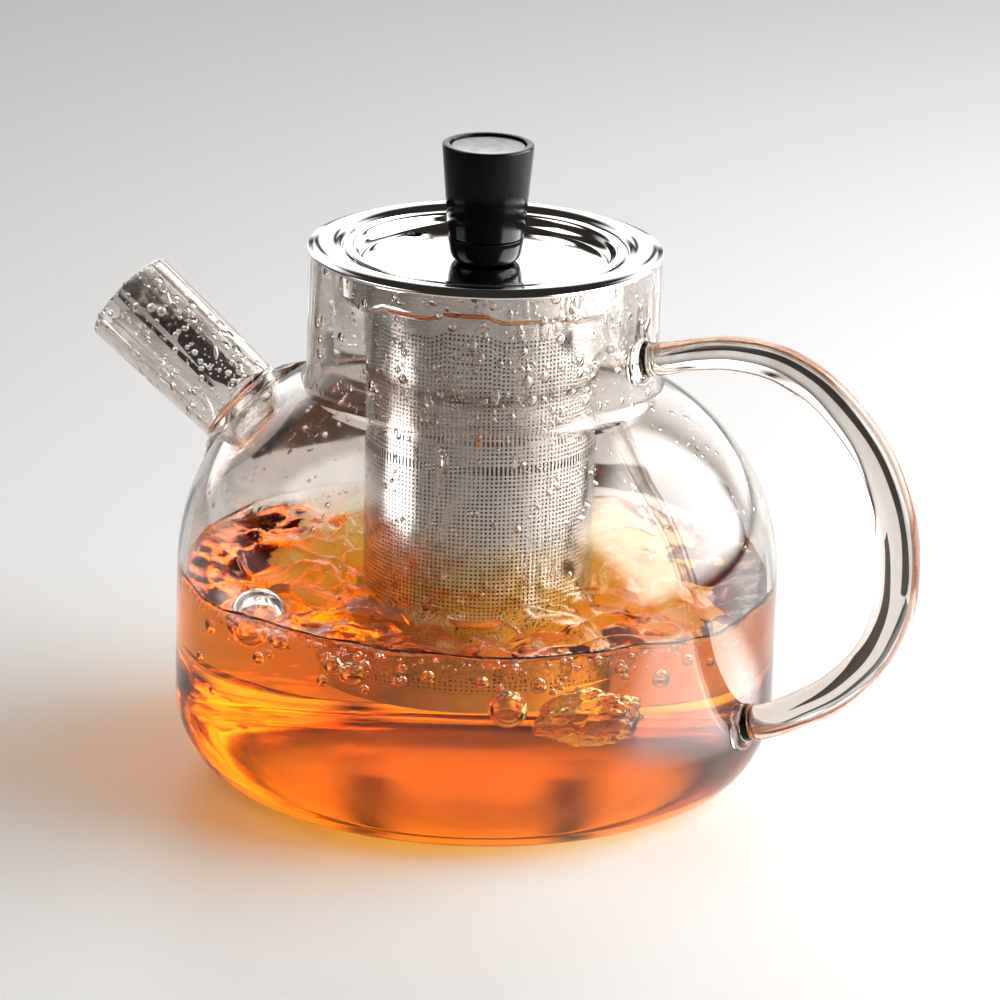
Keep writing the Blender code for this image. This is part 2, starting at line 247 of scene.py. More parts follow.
def pot_outline(top):
    """Outside of the pot, from the edge of the flat base up to a height on the neck."""
    depth = POT_RADIUS - BASE_FLAT
    corner = []
    for i in range(CORNER_STEPS + 1):
        a = math.pi / 2 * i / CORNER_STEPS
        corner.append((BASE_FLAT + depth * math.sin(a), BASE_CORNER * (1 - math.cos(a))))
    last = math.acos((NECK_RADIUS / POT_RADIUS) ** (SHOULDER_POWER / 2))
    shoulder = [shoulder_point(last * i / SHOULDER_STEPS) for i in range(SHOULDER_STEPS)]
    meet = shoulder_point(last)
    neck = bend(shoulder_point(last * 0.97), meet, (NECK_RADIUS, meet[1] + NECK_FILLET), 6)
    wall = [(POT_RADIUS, BASE_CORNER + (SHOULDER_BOTTOM - BASE_CORNER) * i / 4) for i in (1, 2, 3)]
    return corner + wall + shoulder + neck + [(NECK_RADIUS, top)]


LIP = GLASS_WALL / 2
outside = pot_outline(RIM_HEIGHT - LIP)
inside = [p for p in moved_in(outside, GLASS_WALL) if p[1] > GLASS_BASE]
print("outline of", len(outside), "points")

# %% [markdown]
# The spout is a straight tube and the handle a bent rod. Both were melted onto the pot, so the
# glass runs out in a soft fillet at every joint. Each is made as a solid that reaches into the
# pot, all three are joined, and the inside is then cut out in one go. That gives one clear skin
# with no seam in it, which a light ray would show at once. The spout comes first.

# %% Solid pot and spout
def laid_along(piece, start, end):
    """Turns a piece made up the Z axis so that it runs from start towards end."""
    turn = Vector((0, 0, 1)).rotation_difference(end - start)
    piece.matrix_world = Matrix.Translation(start) @ turn.to_matrix().to_4x4()
    choose(piece)
    bpy.ops.object.transform_apply(location=True, rotation=True, scale=True)
    return piece


def fillet(radius, reach, steps=6):
    """Outline of a melted joint: wide at the pot's skin, and down to the radius at reach."""
    points = []
    for i in range(steps + 1):
        a = math.pi / 2 * i / steps
        points.append((radius + reach * (1 - math.sin(a)), reach * (1 - math.cos(a))))
    return points


SPOUT_LENGTH = (SPOUT_TIP - SPOUT_ROOT).length
BURIED = 9.0 * MM
SPOUT_FOOT = 6.5 * MM
SPOUT_FOOT_DEPTH = 2.5 * MM
SPOUT_MELT = 3.6 * MM
SPOUT_FLARE = 0.45 * MM

glass_pot = turned("glass_pot", [(0, 0)] + outside
                   + [(NECK_RADIUS, RIM_HEIGHT), (0, RIM_HEIGHT)], steps=128)
spout = turned("spout", [(0, -BURIED), (SPOUT_ROOT_RADIUS + SPOUT_FOOT, -SPOUT_FOOT_DEPTH)]
               + fillet(SPOUT_ROOT_RADIUS, SPOUT_MELT)
               + [(SPOUT_ROOT_RADIUS + SPOUT_FLARE, SPOUT_LENGTH / 2)]
               + [(SPOUT_TIP_RADIUS, SPOUT_LENGTH), (0, SPOUT_LENGTH)], steps=64)
laid_along(spout, SPOUT_ROOT, SPOUT_TIP)
print("spout:", round(1000 * SPOUT_LENGTH, 1), "mm long")

# %% [markdown]
# The handle is one rod, bent hot. Its route is a list of stations, each with its distance out from
# the pot's axis, its height and the rod's radius there, all in millimetres. At both ends the rod
# widens in a quarter circle and meets the wall nearly square, as molten glass does.

# %% Handle
def melted_end(place, way, radius, reach):
    """Handle points (out, height, radius) of an end that flows onto the wall at place."""
    points = [(place[0] - 3 * way[0], place[1] - 3 * way[1], radius + reach)]
    for thickness, run in fillet(radius, reach):
        points.append((place[0] + run * way[0], place[1] + run * way[1], thickness))
    return points


HANDLE_ROUTE = melted_end((39.8, 102.5), (0.99, 0.12), 3.8, 2.3)
HANDLE_ROUTE += [(46.0, 103.8, 3.65), (53.0, 105.8, 3.6), (64.0, 107.5, 3.9), (77.0, 105.6, 4.2),
                 (90.0, 97.0, 4.5), (100.2, 82.5, 4.7), (104.0, 64.5, 4.75), (101.0, 48.0, 4.6),
                 (92.0, 35.5, 4.4), (80.5, 27.4, 4.0), (74.5, 24.2, 3.95)]
HANDLE_ROUTE += reversed(melted_end((67.8, 22.2), (0.985, 0.17), 4.0, 2.2))
clear_selection()
bpy.ops.curve.primitive_nurbs_path_add()
handle = bpy.context.object
handle.name = "handle"
handle.data.splines.clear()
route = handle.data.splines.new("BEZIER")
route.bezier_points.add(len(HANDLE_ROUTE) - 1)
for point, (out, height, radius) in zip(route.bezier_points, HANDLE_ROUTE):
    point.co = Vector((out, 0, height)) * MM
    point.handle_left_type = point.handle_right_type = "AUTO"
    point.radius = radius
route.resolution_u = 8
handle.data.dimensions = "3D"
handle.data.bevel_depth = MM
handle.data.bevel_resolution = 10
handle.data.use_fill_caps = True
choose(handle)
bpy.ops.object.convert(target="MESH")
handle = bpy.context.object
close_up(handle)
print("handle:", len(HANDLE_ROUTE), "stations,", len(handle.data.polygons), "faces")

# %% [markdown]
# Spout and handle are joined to the pot while all three are solid. Then the cavity and the spout's
# bore are taken out. The cavity runs straight up through the rim, because the mouth is as wide as
# the neck.

# %% Joined and hollowed
combine(glass_pot, spout, "UNION")
combine(glass_pot, handle, "UNION")
cavity = turned("cavity", [(0, GLASS_BASE), (BASE_FLAT, GLASS_BASE)] + inside
                + [(NECK_RADIUS - GLASS_WALL, RIM_HEIGHT + LIP), (0, RIM_HEIGHT + LIP)], steps=128)
bore_tip = SPOUT_TIP_RADIUS - SPOUT_WALL
bore = turned("bore", [(0, -BURIED), (SPOUT_ROOT_RADIUS - SPOUT_WALL, -BURIED),
                       (SPOUT_ROOT_RADIUS - SPOUT_WALL, 0), (bore_tip, SPOUT_LENGTH),
                       (bore_tip, SPOUT_LENGTH + LIP), (0, SPOUT_LENGTH + LIP)], steps=64)
laid_along(bore, SPOUT_ROOT, SPOUT_TIP)
combine(glass_pot, cavity, "DIFFERENCE")
combine(glass_pot, bore, "DIFFERENCE")
print("one skin:", len(glass_pot.data.polygons), "faces")

# %% [markdown]
# A cut glass edge is melted in a flame until it draws itself round. Here a bevel does the same to
# the square edges of the rim and of the spout's mouth.

# %% Rims melted round
RIM_MELT = 0.85 * MM
MOUTH_MELT = 0.7 * MM


def round_rim(piece, on_rim, width, steps=4):
    """Melts the square edges that on_rim picks into a round lip."""
    choose(piece)
    bpy.ops.object.mode_set(mode="EDIT")
    bpy.ops.mesh.select_mode(type="EDGE")
    bpy.ops.mesh.select_all(action="DESELECT")
    mesh = bmesh.from_edit_mesh(piece.data)
    for edge in mesh.edges:
        if all(on_rim(v.co) for v in edge.verts) and edge.calc_face_angle(0) > 1.0:
            edge.select = True
    bmesh.update_edit_mesh(piece.data)
    print("rim edges:", sum(edge.select for edge in mesh.edges))
    bpy.ops.mesh.bevel(offset=width, segments=steps, profile=0.5)
    bpy.ops.object.mode_set(mode="OBJECT")


spout_axis = (SPOUT_TIP - SPOUT_ROOT).normalized()
round_rim(glass_pot, lambda place: abs(place.z - RIM_HEIGHT) < 1e-5, RIM_MELT)
round_rim(glass_pot, lambda place: abs((place - SPOUT_TIP).dot(spout_axis)) < 1e-5, MOUTH_MELT)
choose(glass_pot)
bpy.ops.object.shade_smooth_by_angle(angle=math.radians(45))
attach(glass_pot, "pot")
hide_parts("glass_body", "glass_spout", "glass_handle")
print("glass pot:", len(glass_pot.data.polygons), "faces")

# %% [markdown]
# The tea fills the round body to just under half its height. Its mesh reaches a little way into
# the glass, so that no film of air is left between the two. Its top is cut into many narrow rings,
# because a boiling surface needs a fine mesh. Two groups say what may move: the whole surface, and
# the part of it that is away from the glass.

# %% Tea
INTO_GLASS = 0.4 * MM
CALM_EDGE = 9 * MM
tea_wall = [p for p in moved_in(outside, GLASS_WALL - INTO_GLASS)
            if GLASS_BASE < p[1] < TEA_LEVEL - MM]
tea_edge = POT_RADIUS - GLASS_WALL + INTO_GLASS
SURFACE_RINGS = 110
top_rings = [(tea_edge * (1 - i / SURFACE_RINGS), TEA_LEVEL) for i in range(SURFACE_RINGS + 1)]
tea = turned("tea", [(0, GLASS_BASE - INTO_GLASS), (BASE_FLAT, GLASS_BASE - INTO_GLASS)]
             + tea_wall + top_rings, steps=224, smooth_angle=60)
surface = tea.vertex_groups.new(name="surface")
away_from_glass = tea.vertex_groups.new(name="away_from_glass")
for vertex in tea.data.vertices:
    if vertex.co.z > TEA_LEVEL - 0.1 * MM:
        gap = tea_edge - math.hypot(vertex.co.x, vertex.co.y)
        surface.add([vertex.index], 1.0, "REPLACE")
        away_from_glass.add([vertex.index], min(gap / CALM_EDGE, 1.0), "REPLACE")
print("still tea:", len(tea.data.polygons), "faces")

# %% [markdown]
# The top is at a rolling boil. Three patterns push it up and down, one after the other: broad
# swells, torn crests and fine ripples. Last the tea climbs the glass in a thin curve, as every
# liquid that wets its vessel does.

# %% Rolling boil
CREST_TEAR = 1.2
MENISCUS_REACH = 2.4 * MM
MENISCUS_RISE = 1.3 * MM
SURFACE_DEPTH = 6 * MM
for title, kind, size, strength, group in (
        ("swell", "CLOUDS", 0.024, 5.0 * MM, "surface"),
        ("crests", "DISTORTED_NOISE", 0.012, 3.4 * MM, "away_from_glass"),
        ("ripple", "CLOUDS", 0.005, 0.9 * MM, "away_from_glass")):
    pattern = bpy.data.textures.new(title, kind)
    pattern.noise_scale = size
    if kind == "DISTORTED_NOISE":
        pattern.distortion = CREST_TEAR
    push = tea.modifiers.new(title, "DISPLACE")
    push.texture = pattern
    push.texture_coords = "LOCAL"
    push.direction = "Z"
    push.strength = strength
    push.vertex_group = group
    choose(tea)
    bpy.ops.object.modifier_apply(modifier=push.name)
for vertex in tea.data.vertices:
    rise = 1 - (tea_edge - math.hypot(vertex.co.x, vertex.co.y)) / MENISCUS_REACH
    if rise > 0 and vertex.co.z > TEA_LEVEL - SURFACE_DEPTH:
        vertex.co.z += MENISCUS_RISE * rise ** 2
choose(tea)
bpy.ops.object.shade_smooth()
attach(tea, "pot")
heights = [1000 * vertex.co.z for vertex in tea.data.vertices]
print("tea stands up to", round(max(heights), 1), "mm")

# %% [markdown]
# Boiling tea is full of steam bubbles, and there are also thousands of drops to come. So one
# helper copies a small shape to many places, all in one mesh. One ball is modelled here for every
# bubble. It has few faces, because most bubbles are only a millimetre or two wide.

# %% One ball and a helper that copies it
clear_selection()
bpy.ops.mesh.primitive_uv_sphere_add(segments=16, ring_count=10, radius=1.0)
ball = bpy.context.object
choose(ball)
bpy.ops.object.shade_smooth()
ball_points = np.array([v.co for v in ball.data.vertices])
ball_faces = [tuple(f.vertices) for f in ball.data.polygons]
bpy.data.objects.remove(ball, do_unlink=True)


def copies(name, points, faces, places):
    """One mesh that holds a copy of a small shape at every place, given as 4 x 4 matrices."""
    verts, polygons = [], []
    for place in places:
        grid = np.array(place)
        base = len(verts) * len(points)
        verts.append(points @ grid[:3, :3].T + grid[:3, 3])
        polygons += [tuple(base + i for i in face) for face in faces]
    mesh = bpy.data.meshes.new(name)
    mesh.from_pydata(np.concatenate(verts).tolist(), [], polygons)
    piece = bpy.data.objects.new(name, mesh)
    bpy.context.collection.objects.link(piece)
    choose(piece)
    bpy.ops.object.shade_smooth()
    return piece


print("one ball:", len(ball_faces), "faces")

# %% [markdown]
# The large bubbles touch the glass in front, each at a place of its own. A row gives its distance
# to the side and its height and radius, in millimetres. Seventy small ones are scattered round
# them. Each is pressed flatter, by up to a seventh, because none is quite round.

# %% Bubbles at the glass
FRONT = math.atan2(-CAMERA_LOOK.y, -CAMERA_LOOK.x)
SIDE_WAY = Vector((-math.sin(FRONT), math.cos(FRONT), 0))
FRONT_WAY = Vector((math.cos(FRONT), math.sin(FRONT), 0))


def at_glass(side, height, radius):
    """A place for a ball that touches the glass, side mm from the middle of the front."""
    out = tea_edge - 0.7 * MM - radius
    across = side * MM * out / tea_edge
    forward = math.sqrt(out ** 2 - across ** 2)
    return SIDE_WAY * across + FRONT_WAY * forward + Vector((0, 0, height * MM))


dice = random.Random(7)
balls = [(-53, 46.0, 6.2), (-44, 45.0, 2.6), (-48, 39.5, 1.6), (-59, 41.5, 1.8),
         (-31.5, 42.2, 2.4), (-27.6, 41.0, 3.1), (-24.4, 43.4, 1.8), (-33.4, 38.4, 1.5),
         (-24.0, 38.2, 1.2),
         (8.2, 35.2, 4.4), (2.0, 42.0, 1.6), (14.6, 41.0, 2.0),
         (42.0, 39.0, 2.2), (47.5, 42.0, 1.5), (-10.0, 43.0, 1.5), (-15.5, 41.5, 1.1),
         (33.0, 43.0, 1.7), (-61, 33.0, 1.3), (-58, 27.0, 1.1)]
balls += [(dice.uniform(-60, 60), 46.5 - 7 * dice.random() ** 2, 0.45 + 0.75 * dice.random() ** 2)
          for _ in range(70)]
places = []
for side, height, radius in balls:
    spot = at_glass(side, height, radius * MM)
    shape = Matrix.Diagonal((radius * MM, radius * MM, radius * MM * dice.uniform(0.86, 1.0), 1))
    places.append(Matrix.Translation(spot) @ shape)
print("bubbles at the glass:", len(places))

# %% [markdown]
# Foam is a ring of very small bubbles right under the edge of the tea. The edge isn't level, so
# its height is first read from the tea's own mesh, in steps of two degrees.

# %% Foam at the edge
SECTORS = 180
waterline = {}
for vertex in tea.data.vertices:
    gap = tea_edge - math.hypot(vertex.co.x, vertex.co.y)
    if abs(gap - 1.2 * MM) < 0.7 * MM and vertex.co.z > TEA_LEVEL - SURFACE_DEPTH:
        angle = math.degrees(math.atan2(vertex.co.y, vertex.co.x))
        waterline[round(angle / 2) % SECTORS] = vertex.co.z
for _ in range(260):
    angle = dice.uniform(0, 360)
    radius = (0.22 + 0.5 * dice.random() ** 3) * MM
    around = Vector((math.cos(math.radians(angle)), math.sin(math.radians(angle)), 0))
    top = waterline.get(round(angle / 2) % SECTORS, TEA_LEVEL) - radius - 0.35 * MM
    height = top - 1.6 * MM * dice.random() ** 3
    spot = around * (tea_edge - 0.6 * MM - radius) + Vector((0, 0, height))
    places.append(Matrix.Translation(spot) @ Matrix.Diagonal((radius, radius, radius, 1)))
bubbles = copies("bubbles", ball_points, ball_faces, places)
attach(bubbles, "pot")
print("all bubbles:", len(places))

# %% [markdown]
# One large pocket of air has just been torn loose, low on the right. It starts as a ball. Broad
# lobes and small dents push its skin about, and then it is stretched along the glass.

# %% Air pocket
clear_selection()
bpy.ops.mesh.primitive_ico_sphere_add(subdivisions=5, radius=1.0)
pocket = bpy.context.object
pocket.name = pocket.data.name = "air_pocket"
for title, size, strength in (("lobes", 0.8, 0.75), ("dents", 0.3, 0.26)):
    pattern = bpy.data.textures.new(title, "CLOUDS")
    pattern.noise_scale = size
    push = pocket.modifiers.new(title, "DISPLACE")
    push.texture = pattern
    push.strength = strength
    bpy.ops.object.modifier_apply(modifier=push.name)
pocket.matrix_world = (Matrix.Translation(at_glass(27.5, 31.5, 6.0 * MM))
                       @ Matrix.Rotation(FRONT + math.pi / 2, 4, "Z")
                       @ Matrix.Rotation(math.radians(-8), 4, "Y")
                       @ Matrix.Diagonal((11.5 * MM, 5.0 * MM, 6.3 * MM, 1)))
bpy.ops.object.transform_apply(location=True, rotation=True, scale=True)
bpy.ops.object.shade_smooth()
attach(pocket, "pot")
print("air pocket:", len(pocket.data.polygons), "faces")

# %% [markdown]
# The infuser hangs from a polished ring that lies on the glass rim. Ring, recess, ledge, collar
# and shoulder are drawn from one steel sheet, so they are one outline with rounded bends. The ring
# itself is slightly crowned, so it mirrors a white line between two darker ones.

# %% Infuser ring
SHEET = 0.8 * MM
RING_TOP = ring_high.z
RING_RADIUS = ring_high.x
RECESS = 32.0 * MM
LEDGE = RING_TOP - 1.7 * MM
COLLAR = 31.0 * MM
COLLAR_BOTTOM = 114.0 * MM
SPIGOT = tube_high.x - 0.8 * MM
CROWN = 1.0 * MM
crown_middle, crown_half = (RING_RADIUS + RECESS) / 2, (RING_RADIUS - RECESS) / 2 - 0.7 * MM
crown = [(crown_middle - crown_half * i / 8, RING_TOP - CROWN * (i / 8) ** 2) for i in range(-7, 8)]
ring_upper = arc((RING_RADIUS - 0.45 * MM, RING_TOP - CROWN - 0.35 * MM), 0.45 * MM, -30, 65, 6)
ring_upper += crown
ring_upper += arc((RECESS + 0.6 * MM, RING_TOP - CROWN - 0.5 * MM), 0.6 * MM, 115, 180, 6)
ring_upper += bend((RECESS, LEDGE + 0.3 * MM), (RECESS, LEDGE), (RECESS - 0.3 * MM, LEDGE), 3)
ring_upper += bend((COLLAR - SHEET + 0.4 * MM, LEDGE), (COLLAR - SHEET, LEDGE),
                   (COLLAR - SHEET, LEDGE - 0.4 * MM), 4)
ring_inner = bend((COLLAR - SHEET, COLLAR_BOTTOM + 1.2 * MM),
                  (COLLAR - SHEET, COLLAR_BOTTOM - 0.2 * MM),
                  (COLLAR - SHEET - 1.6 * MM, COLLAR_BOTTOM - 0.8 * MM), 5)
ring_inner += bend((SPIGOT - SHEET + 1.4 * MM, COLLAR_BOTTOM - 2.0 * MM),
                   (SPIGOT - SHEET, COLLAR_BOTTOM - 2.4 * MM),
                   (SPIGOT - SHEET, COLLAR_BOTTOM - 4.0 * MM), 5)
ring_lower = [(SPIGOT - SHEET, ring_low.z), (SPIGOT, ring_low.z)]
ring_lower += bend((SPIGOT, tube_high.z + 0.3 * MM), (SPIGOT, tube_high.z + 0.7 * MM),
                   (SPIGOT + 1.0 * MM, tube_high.z + 0.9 * MM), 3)
ring_lower += bend((COLLAR - 1.8 * MM, COLLAR_BOTTOM - 1.5 * MM),
                   (COLLAR, COLLAR_BOTTOM - 0.7 * MM),
                   (COLLAR, COLLAR_BOTTOM + 1.0 * MM), 5)
ring_lower += bend((COLLAR, LEDGE - SHEET - 0.8 * MM), (COLLAR, LEDGE - SHEET),
                   (COLLAR + 0.8 * MM, LEDGE - SHEET), 4)
ring_lower += [(RECESS + SHEET, LEDGE - SHEET + 0.2 * MM),
               (RECESS + SHEET, RING_TOP - SHEET - 0.2 * MM),
               (RING_RADIUS - 0.5 * MM, RING_TOP - SHEET - 0.25 * MM)]
infuser_ring = turned("polished_ring", ring_upper + ring_inner + ring_lower, steps=160, ring=True,
                      smooth_angle=50)
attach(infuser_ring, "infuser")
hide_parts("infuser_ring")
print("ring:", len(infuser_ring.data.polygons), "faces")

# %% [markdown]
# The tube is a steel sheet with thousands of etched holes. It is modelled as a maker would cut
# it: one small tile with a hole at its corner is repeated across and up by two arrays, and the
# flat sheet is then rolled into a tube. This cell holds the helper that does so for some rows.

# %% A helper for etched sheet
TUBE_RADIUS = tube_high.x
TUBE_WALL = 0.3 * MM
HOLES_ROUND = 160
HOLE_ROWS = 78
HOLE_SHARE = 0.46
SLOT_SHARE = 0.85


def etched_sheet(name, low, row_height, rows, hole_height=HOLE_SHARE):
    """A flat sheet of tiles, as long as the tube is round, then bent into the tube."""
    pitch = 2 * math.pi * TUBE_RADIUS / HOLES_ROUND
    bar = pitch * (1 - HOLE_SHARE)
    sill = row_height * (1 - hole_height)
    clear_selection()
    bpy.ops.mesh.primitive_grid_add(x_subdivisions=2, y_subdivisions=2, size=1.0)
    sheet = bpy.context.object
    sheet.name = sheet.data.name = name
    for vertex in sheet.data.vertices:
        x = {-0.5: 0.0, 0.0: bar, 0.5: pitch}[round(vertex.co.x, 1)]
        z = {-0.5: 0.0, 0.0: sill, 0.5: row_height}[round(vertex.co.y, 1)]
        vertex.co = (x, 0, z)
    bpy.ops.object.mode_set(mode="EDIT")
    mesh = bmesh.from_edit_mesh(sheet.data)
    for face in mesh.faces:
        centre = face.calc_center_median()
        face.select = centre.x > bar and centre.z > sill
    bpy.ops.mesh.delete(type="FACE")
    bpy.ops.object.mode_set(mode="OBJECT")
    for count, step in ((HOLES_ROUND, (pitch, 0, 0)), (rows, (0, 0, row_height))):
        repeat = sheet.modifiers.new("repeat", "ARRAY")
        repeat.count = count
        repeat.use_relative_offset = False
        repeat.use_constant_offset = True
        repeat.constant_offset_displace = step
        repeat.use_merge_vertices = True
        repeat.merge_threshold = 0.00001
        bpy.ops.object.modifier_apply(modifier=repeat.name)
    places = np.empty(len(sheet.data.vertices) * 3)
    sheet.data.vertices.foreach_get("co", places)
    places = places.reshape(-1, 3)
    angle = places[:, 0] / TUBE_RADIUS
    radius = TUBE_RADIUS - TUBE_WALL
    rolled = np.column_stack((radius * np.cos(angle), radius * np.sin(angle), places[:, 2] + low))
    sheet.data.vertices.foreach_set("co", rolled.ravel())
    return sheet


print("holes round the tube:", HOLES_ROUND)

# %% [markdown]
# Two fields of small holes are parted by one row of taller slots, so the tube is made of three
# sheets, one above the other. Each sheet is welded where its ends meet, and only then given its
# thickness, so that the holes have real walls.

# %% Rows of holes
row_height = 0.97 * MM
slot_height = 2.6 * MM
holes_low = tube_low.z + 4.5 * MM
SLOT_ROW = 48
slots_low = holes_low + SLOT_ROW * row_height
parts = [etched_sheet("etched_tube_lower", holes_low, row_height, SLOT_ROW),
         etched_sheet("slot_row", slots_low, slot_height, 1, SLOT_SHARE),
         etched_sheet("etched_tube_upper", slots_low + slot_height, row_height,
                      HOLE_ROWS - SLOT_ROW)]
for part in parts:
    choose(part)
    bpy.ops.object.mode_set(mode="EDIT")
    bpy.ops.mesh.select_all(action="SELECT")
    bpy.ops.mesh.remove_doubles(threshold=1e-5)
    bpy.ops.mesh.normals_make_consistent(inside=False)
    bpy.ops.object.mode_set(mode="OBJECT")
    wall = part.modifiers.new("wall", "SOLIDIFY")
    wall.thickness = TUBE_WALL
    wall.offset = 0
    bpy.ops.object.modifier_apply(modifier=wall.name)
    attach(part, "infuser")
    print(part.name, len(part.data.polygons), "faces")

# %% [markdown]
# Plain bands stay at both ends of the tube, where it is welded. A shallow pressed cup closes the
# bottom.

# %% Bands and end cup
holes_high = holes_low + HOLE_ROWS * row_height + slot_height
inner = TUBE_RADIUS - TUBE_WALL
bands = []
for name, low, high in (("tube_band_lower", tube_low.z, holes_low),
                        ("tube_band_upper", holes_high, tube_high.z)):
    band = turned(name, [(TUBE_RADIUS, low), (TUBE_RADIUS, high), (inner, high), (inner, low)],
                  steps=160, ring=True)
    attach(band, "infuser")
    bands.append(band)
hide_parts("infuser_tube")
CUP_SHEET = 0.4 * MM
CUP_BEND = 1.2 * MM
cup_corner = (end_high.x - CUP_BEND, end_low.z + CUP_BEND)
end_piece = turned("tube_end", [(0, end_low.z)] + arc(cup_corner, CUP_BEND, -90, 0, 5)
                   + [(end_high.x, end_high.z), (end_high.x - CUP_SHEET, end_high.z)]
                   + arc(cup_corner, CUP_BEND - CUP_SHEET, 0, -90, 5)
                   + [(0, end_low.z + CUP_SHEET)], steps=96)
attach(end_piece, "infuser")
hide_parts("infuser_end")
print("tube from", round(1000 * tube_low.z, 1), "to", round(1000 * tube_high.z, 1), "mm")

# %% [markdown]
# The lid is a pressed dish. Its lip lies on the ring's ledge, its wall slopes in and its floor is
# flat and polished like a mirror. A steam hole is punched beside the wall, by cutting a cylinder
# out of the finished dish.

# %% Lid dish
PAN_SHEET = 0.6 * MM
LIP_TOP = LEDGE + 0.3 * MM + PAN_SHEET
FLOOR_TOP = pan_low.z + PAN_SHEET
WALL_TOP = COLLAR - SHEET - 0.9 * MM
FLOOR_EDGE = 28.0 * MM
SCREW_HOLE = 2.3 * MM
VENT_ANGLE = math.radians(157)
VENT_OUT = 25.6 * MM
VENT_RADIUS = 2.0 * MM
dish_top = arc((pan_high.x - 0.3 * MM, LIP_TOP - 0.3 * MM), 0.3 * MM, -90, 90, 5)
dish_top += bend((WALL_TOP + 0.8 * MM, LIP_TOP), (WALL_TOP - 0.1 * MM, LIP_TOP),
                 (WALL_TOP - 0.35 * MM, LIP_TOP - 0.8 * MM), 5)
dish_top += bend((FLOOR_EDGE + 0.7 * MM, FLOOR_TOP + 1.5 * MM), (FLOOR_EDGE + 0.1 * MM, FLOOR_TOP),
                 (FLOOR_EDGE - 1.6 * MM, FLOOR_TOP), 8)
dish_under = bend((FLOOR_EDGE - 1.6 * MM, pan_low.z), (FLOOR_EDGE + 0.6 * MM, pan_low.z),
                  (FLOOR_EDGE + 1.2 * MM, FLOOR_TOP + 1.2 * MM), 8)
dish_under += [(WALL_TOP + 0.2 * MM, LIP_TOP - PAN_SHEET)]
screw_hole = [(SCREW_HOLE, FLOOR_TOP), (SCREW_HOLE, pan_low.z)]
lid_dish = turned("lid_dish", dish_top + screw_hole + dish_under, steps=160, ring=True,
                  smooth_angle=50)
vent_place = Matrix.Rotation(VENT_ANGLE, 3, "Z") @ Vector((VENT_OUT, 0, FLOOR_TOP))
clear_selection()
bpy.ops.mesh.primitive_cylinder_add(vertices=32, radius=VENT_RADIUS, depth=8 * MM,
                                    location=vent_place)
combine(lid_dish, bpy.context.object, "DIFFERENCE")
choose(lid_dish)
bpy.ops.object.shade_smooth_by_angle(angle=math.radians(45))
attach(lid_dish, "lid")
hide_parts("lid_pan")
print("lid dish:", round(2000 * pan_high.x, 1), "mm wide,", len(lid_dish.data.polygons), "faces")

# %% [markdown]
# The knob is a tapered black moulding in two parts, a grip and a foot, with a thin parting line
# between them. Small round edges catch the light, as on every moulding.

# %% Knob grip and foot
EDGE = 0.45 * MM
SMALL_EDGE = 0.2 * MM
GRIP_TOP_RADIUS = grip_high.x
PARTING = grip_low.z
PARTING_RADIUS = 8.55 * MM
recess_radius = disc_high.x + 0.3 * MM
grip_outline = [(0, PARTING)]
grip_outline += arc((PARTING_RADIUS - SMALL_EDGE, PARTING + SMALL_EDGE), SMALL_EDGE, -90, 0, 3)
grip_outline += arc((GRIP_TOP_RADIUS - EDGE, grip_high.z - EDGE), EDGE, 0, 90, 6)
grip_outline += arc((recess_radius + SMALL_EDGE, grip_high.z - SMALL_EDGE), SMALL_EDGE, 90, 180, 3)
grip_outline += [(recess_radius, disc_low.z - SMALL_EDGE), (0, disc_low.z - SMALL_EDGE)]
grip = turned("grip_moulding", grip_outline, steps=96)
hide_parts("knob_grip")
foot_outline = [(0, foot_low.z)] + bend((6.2 * MM, foot_low.z), (7.9 * MM, foot_low.z),
                                        (8.2 * MM, foot_low.z + 3.0 * MM), 8)
foot_outline += arc((PARTING_RADIUS - 0.25 * MM, foot_high.z - SMALL_EDGE), SMALL_EDGE, 0, 90, 3)
foot_outline += [(0, foot_high.z)]
foot = turned("foot_moulding", foot_outline, steps=96)
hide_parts("knob_foot")
print("knob:", round(2000 * GRIP_TOP_RADIUS, 1), "mm wide at the top")

# %% [markdown]
# A grey metal disc is let into the top of the grip. Its face is dished by a third of a millimetre,
# so the light on it changes from one side to the other.

# %% Knob disc
DISH = 0.3 * MM
disc_outline = [(0, disc_low.z), (disc_high.x, disc_low.z)]
disc_outline += bend((disc_high.x, disc_high.z - 0.15 * MM), (disc_high.x, disc_high.z),
                     (disc_high.x - 0.3 * MM, disc_high.z), 3)
disc_outline += [(disc_high.x * (1 - i / 8), disc_high.z - DISH * (1 - (1 - i / 8) ** 2))
                 for i in range(1, 9)]
disc = turned("top_disc", disc_outline, steps=96)
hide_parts("knob_disc")
for piece, slot in ((grip, "black_plastic"), (foot, "black_plastic"), (disc, "disc_steel")):
    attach(piece, "lid")
    print(piece.name, len(piece.data.polygons), "faces")

# %% [markdown]
# Steam from the tea settles on the cool glass and steel as drops. One drop is a little more than
# half a ball. It could be modelled finer, but there are to be thousands, and the widest is two and
# a half millimetres across, so a few dozen faces are enough.

# %% One drop
clear_selection()
bpy.ops.mesh.primitive_ico_sphere_add(subdivisions=2, radius=1.0)
drop = bpy.context.object
bpy.ops.object.mode_set(mode="EDIT")
bpy.ops.mesh.select_all(action="SELECT")
bpy.ops.mesh.bisect(plane_co=(0, 0, -0.25), plane_no=(0, 0, 1), use_fill=True, clear_inner=True)
bpy.ops.object.mode_set(mode="OBJECT")
drop_points = np.array([v.co for v in drop.data.vertices]) + (0, 0, 0.1)
drop_faces = [tuple(f.vertices) for f in drop.data.polygons]
bpy.data.objects.remove(drop, do_unlink=True)
print("one drop:", len(drop_faces), "faces")

